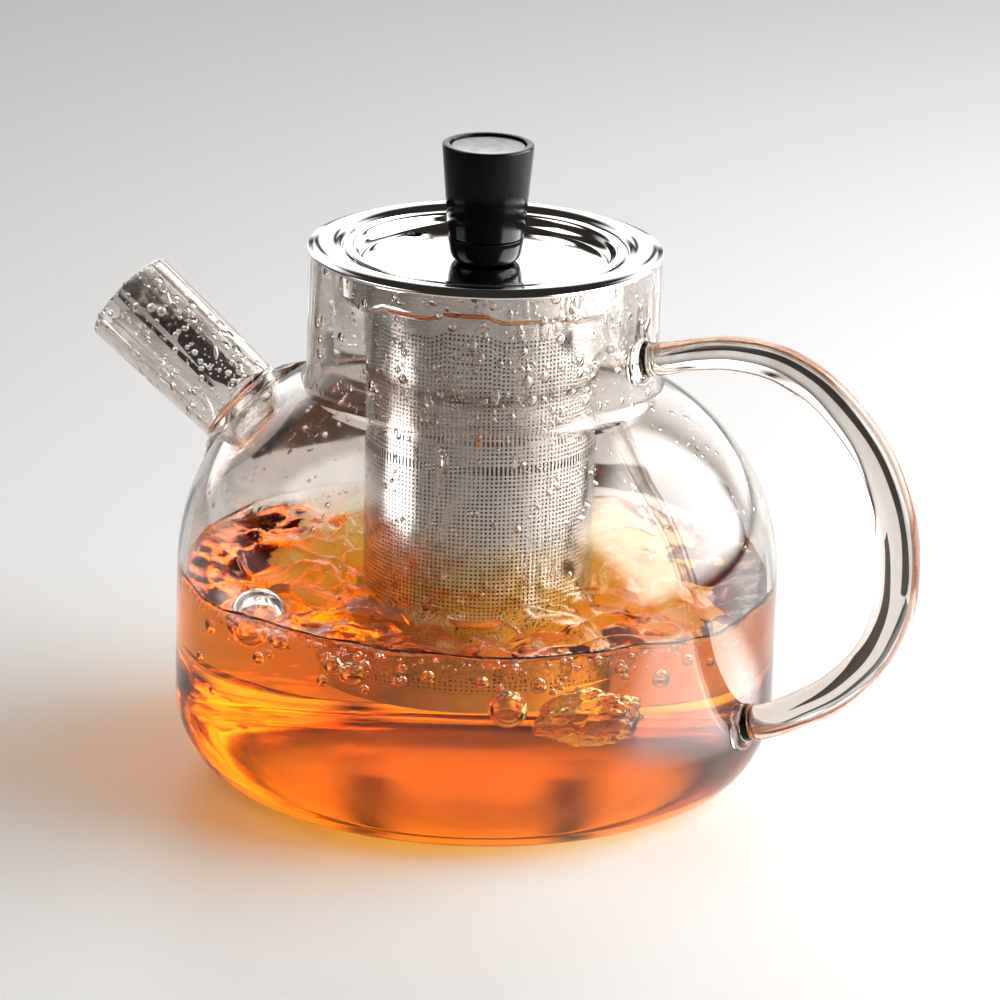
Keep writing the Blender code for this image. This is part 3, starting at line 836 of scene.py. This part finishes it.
# %% [markdown]
# Every drop lies flat on its surface. Most are small and nearly round. One in sixteen has begun
# to run and is drawn out down the slope.

# %% Helpers that shape and lay a drop
DROP_FLATNESS = 0.55


def drop_place(spot, out, size, run):
    """A flat drop on a surface at spot that faces out; run stretches it down the slope."""
    down = Vector((0, 0, -1)) - out * Vector((0, 0, -1)).dot(out)
    down = down.normalized() if down.length > 1e-4 else out.orthogonal().normalized()
    side = out.cross(down)
    axes = Matrix((side * size, down * size * run, out * size * DROP_FLATNESS)).transposed()
    return Matrix.Translation(spot) @ axes.to_4x4()


def drop_size(smallest, largest):
    return (smallest + (largest - smallest) * dice.random() ** 4) * MM


def run_length():
    return dice.uniform(2.0, 4.5) if dice.random() < 0.06 else dice.uniform(0.85, 1.35)


def any_way_round():
    """A level direction out from the pot's axis."""
    angle = dice.uniform(0, 2 * math.pi)
    return Vector((math.cos(angle), math.sin(angle), 0))


print("a drop's height is pressed to", DROP_FLATNESS, "of a round one's")

# %% [markdown]
# On the real pot the glass is wettest at the neck, where the steam meets it last, and the drops
# get finer down the shoulder. Places are drawn evenly over the wall's area, and any that would
# hang in the spout's hole are left out.

# %% Places on the inner wall
def wall_drops(count, low, high, smallest, largest):
    """Drops on the inside of the pot between two heights, away from the spout's hole."""
    found = []
    spots = [(a, b) for a, b in zip(inside, inside[1:]) if b[1] > low and a[1] < high]
    reach = [math.dist(a, b) * a[0] for a, b in spots]
    while len(found) < count:
        a, b = dice.choices(spots, reach)[0]
        share, angle = dice.random(), dice.uniform(0, 2 * math.pi)
        r, z = a[0] + (b[0] - a[0]) * share, a[1] + (b[1] - a[1]) * share
        size = math.dist(a, b)
        around = Vector((math.cos(angle), math.sin(angle), 0))
        out = -around * ((b[1] - a[1]) / size) + Vector((0, 0, (b[0] - a[0]) / size))
        spot = around * r + Vector((0, 0, z))
        along = (spot - SPOUT_ROOT).dot(spout_axis)
        if (spot - SPOUT_ROOT - spout_axis * along).length > SPOUT_ROOT_RADIUS or spot.x > 0:
            found.append(drop_place(spot, out, drop_size(smallest, largest), run_length()))
    return found


places = wall_drops(900, 92 * MM, 120 * MM, 0.22, 1.25)
places += wall_drops(600, 62 * MM, 96 * MM, 0.2, 0.8)
print("drops on the wall:", len(places))

# %% [markdown]
# The spout is the pot's chimney, so its bore is beaded from end to end. The bore widens a little
# towards the mouth, and the drops follow it.

# %% Drops in the spout
across_spout = spout_axis.orthogonal().normalized()
bore_root = SPOUT_ROOT_RADIUS - SPOUT_WALL
for _ in range(480):
    share = dice.uniform(0.02, 0.97)
    around = Matrix.Rotation(dice.uniform(0, 2 * math.pi), 3, spout_axis) @ across_spout
    spot = SPOUT_ROOT.lerp(SPOUT_TIP, share) + around * (bore_root + (bore_tip - bore_root) * share)
    places.append(drop_place(spot, -around, drop_size(0.22, 1.1), run_length()))
glass_drops = copies("glass_drops", drop_points, drop_faces, places)
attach(glass_drops, "pot")
print("drops on the glass:", len(places))

# %% [markdown]
# Drops also sit on the tube and its collar, thickest just under the ring. They are a mesh of
# their own, because they leave the pot with the infuser when it is lifted.

# %% Drops on the steel
TUBE_DROPS_REACH = 48 * MM
places = []
for _ in range(620):
    around = any_way_round()
    height = tube_high.z - 1.5 * MM - TUBE_DROPS_REACH * dice.random() ** 1.5
    spot = around * (TUBE_RADIUS + 0.02 * MM) + Vector((0, 0, height))
    places.append(drop_place(spot, around, drop_size(0.18, 0.85), run_length()))
for _ in range(110):
    around = any_way_round()
    height = dice.uniform(COLLAR_BOTTOM + 1 * MM, LEDGE - 3 * MM)
    spot = around * COLLAR + Vector((0, 0, height))
    places.append(drop_place(spot, around, drop_size(0.2, 0.8), run_length()))
steel_drops = copies("steel_drops", drop_points, drop_faces, places)
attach(steel_drops, "infuser")
print("drops on the steel:", len(places))

# %% [markdown]
# The shapes are done, and the finishes follow. Each is built from nodes alone, so it has detail at
# any distance. These helpers make a material, put it on a piece, and add a node with its values
# set or its sockets linked by name.

# %% Helpers for finishes
def finish_material(name, **settings):
    """A new material, with values of its main shader set by their names."""
    material = bpy.data.materials.new(name)
    material.use_nodes = True
    shader = material.node_tree.nodes["Principled BSDF"]
    for title, value in settings.items():
        shader.inputs[title.replace("_", " ")].default_value = value
    return material


def coat(piece, material):
    piece.data.materials.clear()
    piece.data.materials.append(material)


def link_or_set(owner, socket, value):
    if isinstance(value, bpy.types.NodeSocket):
        owner.node_tree.links.new(value, socket)
    else:
        socket.default_value = value


def add_node(owner, kind, **inputs):
    """A new node in a material, a lamp or a world, with its inputs set or linked by name."""
    node = owner.node_tree.nodes.new(kind)
    for name, value in inputs.items():
        link_or_set(owner, node.inputs[name.replace("_", " ")], value)
    return node


def worked_out(owner, operation, *values):
    """The result of a product, a difference and the like."""
    node = owner.node_tree.nodes.new("ShaderNodeMath")
    node.operation = operation
    for socket, value in zip(node.inputs, values):
        link_or_set(owner, socket, value)
    return node.outputs["Value"]


def feed(material, name, source):
    material.node_tree.links.new(source, material.node_tree.nodes["Principled BSDF"].inputs[name])


print("materials in the file before the finishes:", len(bpy.data.materials))

# %% [markdown]
# Real surfaces are never even. Their stains, grain and tool marks come from noise and rings on the
# piece's own coordinates, so a pattern moves with its piece. Its range is mapped to a range of
# colours or of roughness, or it is used as fine relief.

# %% Helpers for patterns
def grain(material, scale, detail=2.0, stretch=(1, 1, 1)):
    """Noise on the piece's own coordinates, scale cells to the metre."""
    place = add_node(material, "ShaderNodeTexCoord").outputs["Object"]
    placed = add_node(material, "ShaderNodeMapping", Vector=place, Scale=stretch)
    noise = add_node(material, "ShaderNodeTexNoise", Vector=placed.outputs["Vector"], Scale=scale,
                     Detail=detail)
    return noise.outputs["Fac"]


def turning_marks(material, scale):
    """Fine rings round the Z axis, as a polishing wheel or a lathe leaves them."""
    place = add_node(material, "ShaderNodeTexCoord").outputs["Object"]
    rings = add_node(material, "ShaderNodeTexWave", Vector=place, Scale=scale, Distortion=1.2,
                     Detail=3.0)
    rings.wave_type = "RINGS"
    rings.rings_direction = "Z"
    return rings.outputs["Fac"]


def between(material, factor, low, high):
    """Moves the middle of a noise's range to run from low to high."""
    node = add_node(material, "ShaderNodeMapRange", Value=factor, From_Min=0.3, From_Max=0.7,
                    To_Min=low, To_Max=high)
    return node.outputs["Result"]


def blended(material, factor, dark, light):
    """Two colours mixed by a factor."""
    node = material.node_tree.nodes.new("ShaderNodeMix")
    node.data_type = "RGBA"
    node.inputs["A"].default_value = (*dark, 1)
    node.inputs["B"].default_value = (*light, 1)
    material.node_tree.links.new(factor, node.inputs["Factor"])
    return node.outputs["Result"]


def roughen(material, height, distance):
    bump = add_node(material, "ShaderNodeBump", Height=height, Distance=distance)
    feed(material, "Normal", bump.outputs["Normal"])


print("patterns: grain and turning marks")

# %% [markdown]
# Light falls into the pot through its own walls. Traced through every bend of the glass, it would
# leave the tea black, so rays from lamps pass glass, water and tea as through a clear filter. What
# is seen through them is still bent in full. Glass and tea also take up light along its way
# inside them, which makes a thick edge darker than a thin wall.

# %% Helpers for clear things
def lets_light_through(material, colour):
    """Swaps the shader for a clear one on rays from lamps."""
    nodes, links = material.node_tree.nodes, material.node_tree.links
    open_way = add_node(material, "ShaderNodeBsdfTransparent", Color=(*colour, 1))
    path = nodes.new("ShaderNodeLightPath")
    mix = nodes.new("ShaderNodeMixShader")
    links.new(path.outputs["Is Shadow Ray"], mix.inputs["Fac"])
    links.new(nodes["Principled BSDF"].outputs["BSDF"], mix.inputs[1])
    links.new(open_way.outputs["BSDF"], mix.inputs[2])
    links.new(mix.outputs["Shader"], nodes["Material Output"].inputs["Surface"])


def takes_up_light(material, colour, density):
    """Darkens light along its way inside the piece, least in the colour given."""
    depth = add_node(material, "ShaderNodeVolumeAbsorption", Color=(*colour, 1), Density=density)
    material.node_tree.links.new(depth.outputs["Volume"],
                                 material.node_tree.nodes["Material Output"].inputs["Volume"])


def clear_finish(name, bending, lamp_colour, relief_scale, relief):
    """A colourless clear finish with its refractive index and a faint relief."""
    material = finish_material(name, Base_Color=(1, 1, 1, 1), Roughness=0.0,
                               Transmission_Weight=1.0, IOR=bending)
    roughen(material, grain(material, relief_scale, 1.0), relief)
    lets_light_through(material, lamp_colour)
    return material


print("lamp light goes through clear pieces")

# %% [markdown]
# Steam settles on the inside of the glass, most in the spout and less down the neck and shoulder.
# How much is written on the mesh, point by point, as an attribute. Only faces that look inwards get
# any. In the spout the upper side is the wettest, since steam rises to it. The same attribute makes
# the glass rough where it is wet. It also darkens the glass towards brown as painted shade,
# strongest on the spout's upper side.

# %% Where the glass is wet with steam and painted darker
STEAM_BOTTOM = 60 * MM
STEAM_SPAN = 40 * MM
UP_THE_SPOUT = Vector((0.57, 0, 0.82))
# This attribute also sets where painted shade darkens the glass.
steam_and_shade = glass_pot.data.attributes.new("steam_and_shade", "FLOAT", "POINT")
for vertex in glass_pot.data.vertices:
    place, facing = vertex.co, vertex.normal
    along = (place - SPOUT_ROOT).dot(spout_axis)
    around = place - SPOUT_ROOT - spout_axis * along
    in_spout = along > 2 * MM and around.length < 13 * MM and place.x < -50 * MM
    if in_spout:
        inside_bore = facing.dot(around) < 0 and around.length < bore_tip + 0.2 * MM
        upper_side = around.normalized().dot(UP_THE_SPOUT)
        steam_and_shade.data[vertex.index].value = inside_bore * (0.8 + 1.2 * max(upper_side, 0))
    elif facing.dot(Vector((place.x, place.y, 0))) < 0:
        height = min(max((place.z - STEAM_BOTTOM) / STEAM_SPAN, 0.0), 1.0)
        steam_and_shade.data[vertex.index].value = 0.6 * height
print("steamed points:", sum(point.value > 0 for point in steam_and_shade.data))

# %% [markdown]
# Clear glass bends light by an index of 1.47. Blown by hand, its skin is never quite true, and a
# long soft relief bends the lines behind it. Steam makes it a little rough in patches. Where it is
# wet, patches of it are also darkened towards brown: this is painted shade on the spout and the
# neck.
# A faint brown is taken up inside it, which shows only where the eye looks along the wall. What
# the glass mirrors is toned down by about a third, so that the floor doesn't wash out the tea.

# %% Clear glass
clear_glass = finish_material("clear_glass_finish", Transmission_Weight=1.0, IOR=1.47,
                              Specular_Tint=(0.72, 0.69, 0.66, 1))
steam_and_shade_node = add_node(clear_glass, "ShaderNodeAttribute")
steam_and_shade_node.attribute_name = "steam_and_shade"
patches = between(clear_glass, grain(clear_glass, 70, 5.0), 0.0, 0.22)
# Painted shade: where the glass is wet, its colour is darkened towards brown in patches.
painted_shade_patches = between(clear_glass, grain(clear_glass, 120, 6.0), 0.25, 1.0)
dull = worked_out(clear_glass, "MULTIPLY", steam_and_shade_node.outputs["Fac"], patches)
painted_shade = worked_out(clear_glass, "MULTIPLY", steam_and_shade_node.outputs["Fac"], painted_shade_patches)
feed(clear_glass, "Roughness", dull)
# Painted shade: the dark brown mixed in here is shade painted into the glass's colour.
feed(clear_glass, "Base Color", blended(clear_glass, painted_shade, (0.92, 0.90, 0.88), (0.30, 0.25, 0.22)))
roughen(clear_glass, grain(clear_glass, 55, 1.0, (1, 1, 0.35)), 0.16 * MM)
takes_up_light(clear_glass, (0.76, 0.70, 0.64), 90.0)
lets_light_through(clear_glass, (0.94, 0.93, 0.92))
coat(glass_pot, clear_glass)
print("glass_pot:", clear_glass.name)

# %% [markdown]
# Drops are plain water. A bubble is a hole in the tea, so light bends the other way at its skin,
# by an index below one: that of air divided by that of water.

# %% Water and bubbles
WATER_BENDING = 1.33
water = clear_finish("condensed_water", WATER_BENDING, (0.97, 0.97, 0.97), 900, 0.03 * MM)
steam = clear_finish("steam_in_tea", 0.75, (1.0, 1.0, 1.0), 500, 0.05 * MM)
for piece, material in ((glass_drops, water), (steel_drops, water), (bubbles, steam),
                        (pocket, steam)):
    coat(piece, material)
    print(piece.name + ":", material.name)

# %% [markdown]
# Tea is water that takes up blue at once and green slowly. So it is amber where it is thin and
# deep orange through the full width of the pot. Ripples too small for the mesh are added as
# relief, on its top only: a map from the height to a factor keeps them off the sides.

# %% Brewed tea
tea_finish = finish_material("brewed_tea", Base_Color=(1, 1, 1, 1), Roughness=0.0,
                             Transmission_Weight=1.0, IOR=1.333)
takes_up_light(tea_finish, (0.994, 0.745, 0.05), 50.0)
lets_light_through(tea_finish, (1.0, 1.0, 1.0))
tea_place = add_node(tea_finish, "ShaderNodeTexCoord").outputs["Object"]
tea_height = add_node(tea_finish, "ShaderNodeSeparateXYZ", Vector=tea_place).outputs["Z"]
near_top = add_node(tea_finish, "ShaderNodeMapRange", Value=tea_height, From_Min=TEA_LEVEL - 5 * MM,
                    From_Max=TEA_LEVEL - 2 * MM).outputs["Result"]
ripples = worked_out(tea_finish, "MULTIPLY", grain(tea_finish, 300, 3.0), near_top)
roughen(tea_finish, ripples, 0.35 * MM)
coat(tea, tea_finish)
print("tea:", tea_finish.name)

# %% [markdown]
# Opaque finishes share one recipe: a roughness that wanders between two values, and a colour that
# wanders between two others. Ring and lid are polished on a wheel, which leaves a clear mirror
# with faint rings and a few duller patches.

# %% Polished steel
def worn_finish(name, metallic, gloss, gloss_grain, colours, colour_grain):
    """A finish whose roughness and colour both wander; a grain is its scale and its detail."""
    material = finish_material(name, Metallic=metallic)
    feed(material, "Roughness", between(material, grain(material, *gloss_grain), *gloss))
    feed(material, "Base Color", blended(material, grain(material, *colour_grain), *colours))
    return material


mirror_steel = worn_finish("mirror_steel", 1.0, (0.03, 0.11), (130, 6.0),
                           ((0.72, 0.71, 0.70), (0.84, 0.84, 0.83)), (35, 3.0))
roughen(mirror_steel, turning_marks(mirror_steel, 160), 0.004 * MM)
for piece in (infuser_ring, lid_dish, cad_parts["knob_washer"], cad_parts["knob_screw"]):
    coat(piece, mirror_steel)
    print(piece.name + ":", mirror_steel.name)

# %% [markdown]
# The tube is etched, so its outside is satin with a fine tooth. Its inside is painted a near-black
# brown as painted shade, which stands for the dark inside of the tube and makes the holes dark.
# This is a second material on the faces that look inwards.

# %% Etched steel and painted shade inside
etched_steel = worn_finish("etched_steel_finish", 1.0, (0.12, 0.26), (300, 6.0),
                           ((0.60, 0.585, 0.57), (0.78, 0.775, 0.77)), (90, 5.0))
roughen(etched_steel, grain(etched_steel, 2200, 2.0), 0.01 * MM)
# Painted shade: a near-black brown for the inside of the tube, seen through the holes.
painted_shade_inside = worn_finish("tube_inside_painted_shade", 0.6, (0.35, 0.65), (400, 4.0),
                      ((0.05, 0.03, 0.02), (0.17, 0.11, 0.07)), (180, 6.0))
for part in parts + bands + [end_piece]:
    coat(part, etched_steel)
    part.data.materials.append(painted_shade_inside)
    inwards = 0
    for face in part.data.polygons:
        if face.normal.dot(Vector((face.center.x, face.center.y, 0)).normalized()) < -0.5:
            face.material_index = 1
            inwards += 1
    print(part.name + ":", inwards, "stained faces")

# %% [markdown]
# The knob is moulded in a black plastic that takes a soft shine, with a fine grain in it. Its disc
# is turned from a grey alloy and still shows the tool's rings.

# %% Knob
black_moulding = worn_finish("black_moulding", 0.0, (0.05, 0.15), (160, 6.0),
                             ((0.003, 0.003, 0.003), (0.012, 0.011, 0.011)), (700, 4.0))
black_moulding.node_tree.nodes["Principled BSDF"].inputs["Specular IOR Level"].default_value = 0.17
roughen(black_moulding, grain(black_moulding, 1800, 2.0), 0.012 * MM)
disc_metal = worn_finish("disc_metal", 1.0, (0.16, 0.28), (500, 5.0),
                         ((0.11, 0.11, 0.11), (0.155, 0.155, 0.15)), (260, 4.0))
roughen(disc_metal, turning_marks(disc_metal, 620), 0.002 * MM)
for piece, material in ((grip, black_moulding), (foot, black_moulding), (disc, disc_metal)):
    coat(piece, material)
    print(piece.name + ":", material.name)

# %% [markdown]
# The threaded insert is out of sight inside the knob. It is turned brass, with a lathe's rings in
# its shine.

# %% Turned brass
brass = finish_material("turned_brass", Metallic=1.0)
feed(brass, "Roughness", between(brass, turning_marks(brass, 500), 0.22, 0.4))
feed(brass, "Base Color", blended(brass, grain(brass, 400, 4.0),
                                  (0.58, 0.40, 0.15), (0.78, 0.58, 0.27)))
coat(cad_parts["knob_insert"], brass)
print("knob_insert:", brass.name)

# %% [markdown]
# The studio comes last. The floor is plain and pale, and so large that its end is never seen from
# above. It lies a hair below the pot, so that the two don't share a plane.

# %% Floor
clear_selection()
bpy.ops.mesh.primitive_plane_add(size=8.0, location=(0, 0, -0.3 * MM))
floor = bpy.context.object
floor.name = "floor"
coat(floor, finish_material("pale_floor", Base_Color=(0.44, 0.437, 0.433, 1), Roughness=0.5))
print("floor:", round(floor.dimensions.x), "m wide")

# %% [markdown]
# Glass and polished steel look like what surrounds them. In a room that is pale all round they
# would vanish, so this room is dark with pale parts. These helpers build it from the direction in
# which a ray leaves.

# %% Helpers for the room
world = bpy.data.worlds.new("room")
bpy.context.scene.world = world
world.use_nodes = True
world.node_tree.nodes.clear()
direction = add_node(world, "ShaderNodeTexCoord").outputs["Generated"]


def faded(owner, source, low, high):
    """1 below low, 0 above high, and smooth between them."""
    node = add_node(owner, "ShaderNodeMapRange", Value=source, From_Min=low, From_Max=high,
                    To_Min=1.0, To_Max=0.0)
    node.interpolation_type = "SMOOTHSTEP"
    return node.outputs["Result"]


def share_along(way):
    """How far a ray's direction goes along a way, from -1 to 1."""
    node = add_node(world, "ShaderNodeVectorMath")
    node.operation = "DOT_PRODUCT"
    link_or_set(world, node.inputs[0], direction)
    link_or_set(world, node.inputs[1], way)
    return node.outputs["Value"]


def product(a, b):
    return worked_out(world, "MULTIPLY", a, b)


print("room:", world.name)

# %% [markdown]
# A low pale band runs round the horizon. A tall pale backdrop stands behind the pot, which the lid
# mirrors as white, and it lights the tea from behind. Two dark stripes stand in front of it, one
# on each side, and put the dark arcs into the ring. All else is dark brown.

# %% Room
STRIPE_PLACE = 0.19
STRIPE_HALF_WIDTH = 0.085
HORIZON_LIGHT = 0.7
BACKDROP_LIGHT = 1.75
DARK_ROOM = (0.045, 0.038, 0.033, 1)
height = share_along((0, 0, 1))
horizon = product(faded(world, height, 0.07, 0.18), HORIZON_LIGHT)
behind = faded(world, share_along(FRONT_WAY), -0.86, -0.70)
backdrop = product(product(behind, faded(world, height, 0.60, 0.74)), BACKDROP_LIGHT)
to_side = worked_out(world, "ABSOLUTE", share_along(level_right))
from_stripe = worked_out(world, "ABSOLUTE", worked_out(world, "SUBTRACT", to_side, STRIPE_PLACE))
stripe = product(faded(world, from_stripe, 0.0, STRIPE_HALF_WIDTH),
                 faded(world, height, 0.36, 0.44))
backdrop = product(backdrop, worked_out(world, "SUBTRACT", 1.0, stripe))
tint = add_node(world, "ShaderNodeMix")
tint.data_type = "RGBA"
tint.clamp_factor = False
tint.inputs["A"].default_value = DARK_ROOM
tint.inputs["B"].default_value = (1.0, 1.0, 1.0, 1)
link_or_set(world, tint.inputs["Factor"], worked_out(world, "ADD", horizon, backdrop))
glow = add_node(world, "ShaderNodeBackground", Color=tint.outputs["Result"])
add_node(world, "ShaderNodeOutputWorld", Surface=glow.outputs["Background"])
print("room of", len(world.node_tree.nodes), "nodes")

# %% [markdown]
# A soft box is a lamp behind cloth. The cloth is brightest in its middle and dims towards its
# edges, and so does the reflection of it in the glass. So each box fades over its outer fifth.

# %% Helpers for soft boxes
EDGE_SHARE = 0.22
OVERHEAD = 10.0


def soft_edges(lamp):
    """Dims a box towards its four sides."""
    lamp.use_nodes = True
    place = add_node(lamp, "ShaderNodeNewGeometry").outputs["Parametric"]
    split = add_node(lamp, "ShaderNodeSeparateXYZ", Vector=place)
    fades = []
    for side in "XY":
        off_middle = worked_out(lamp, "SUBTRACT", split.outputs[side], 0.5)
        off_middle = worked_out(lamp, "ABSOLUTE", off_middle)
        fades.append(faded(lamp, off_middle, 0.5 - EDGE_SHARE, 0.5))
    strength = lamp.node_tree.nodes["Emission"].inputs["Strength"]
    link_or_set(lamp, strength, worked_out(lamp, "MULTIPLY", *fades))


def soft_box(name, azimuth, distance, height, size, radiance, aim_height=0.05):
    """A rectangular soft box that faces the pot, at an angle round it from the camera's side."""
    angle = FRONT + math.radians(azimuth)
    spot = Vector((distance * math.cos(angle), distance * math.sin(angle), height))
    aim = (Vector((0, 0, aim_height)) - spot).to_track_quat("-Z", "Y").to_euler()
    bpy.ops.object.light_add(type="AREA", location=spot, rotation=aim)
    light = bpy.context.object
    light.name = name
    light.data.shape = "RECTANGLE"
    light.data.size, light.data.size_y = size
    light.data.energy = radiance * math.pi * size[0] * size[1]
    light.visible_camera = False
    soft_edges(light.data)
    print(name + ":", round(light.data.energy, 1), "W")
    return light


# %% [markdown]
# A large box on the right gives the broad highlight on the shoulder, and a weaker one on the left
# opens the shadows. Upright walls mirror the floor close by, seen from above. So two small cards
# lie on it and shine upwards. The left one is meant for the tube, and the right one for the wall.

# %% Soft boxes
soft_box("right_box", 94, 0.72, 0.44, (1.36, 1.0), 10.5)
soft_box("left_box", -88, 0.62, 0.72, (0.6, 0.6), 3.0)
left_card = soft_box("left_card", -84, 0.29, 0.003, (0.2, 0.2), 5.0, OVERHEAD)
left_card.visible_glossy = False
right_card = soft_box("right_card", 76, 0.17, 0.003, (0.17, 0.17), 5.5, OVERHEAD)
right_card.visible_transmission = False

# %% [markdown]
# Photographers lay black cloth near glass to draw dark lines in it. Three cloths do so here: two
# for the bow and the top of the handle, and one for the spout. They are seen through glass only,
# so the floor stays clean and no shadow is added.

# %% Black cloths
black_cloth = finish_material("black_cloth", Base_Color=(0.012, 0.010, 0.009, 1), Roughness=0.9)


def flag(name, place, size, turn):
    """A black cloth on the floor that is seen only through glass."""
    bpy.ops.mesh.primitive_plane_add(size=1.0, location=(*place, 1 * MM),
                                     rotation=(0, 0, math.radians(turn)))
    cloth = bpy.context.object
    cloth.name = name
    cloth.scale = (*size, 1)
    cloth.visible_camera = cloth.visible_diffuse = cloth.visible_glossy = False
    cloth.visible_shadow = False
    coat(cloth, black_cloth)
    print(name, "at", place)


clear_selection()
flag("handle_flag", (0.0925, 0.168), (0.23, 0.045), 84)
flag("handle_top_flag", (-0.045, 0.190), (0.075, 0.11), 27)
flag("spout_flag", (-0.221, 0.275), (0.17, 0.064), -43)

# %% [markdown]
# The view keeps plain colours with a little more contrast, as a product picture has. Glass inside
# glass needs many bounces before the light is through.

# %% View
scene = bpy.context.scene
scene.view_settings.view_transform = "Standard"
scene.view_settings.look = "Medium High Contrast"
scene.view_settings.exposure = -0.07
scene.cycles.max_bounces = 24
scene.cycles.transmission_bounces = 24
scene.cycles.glossy_bounces = 8
print("bounces:", scene.cycles.max_bounces)
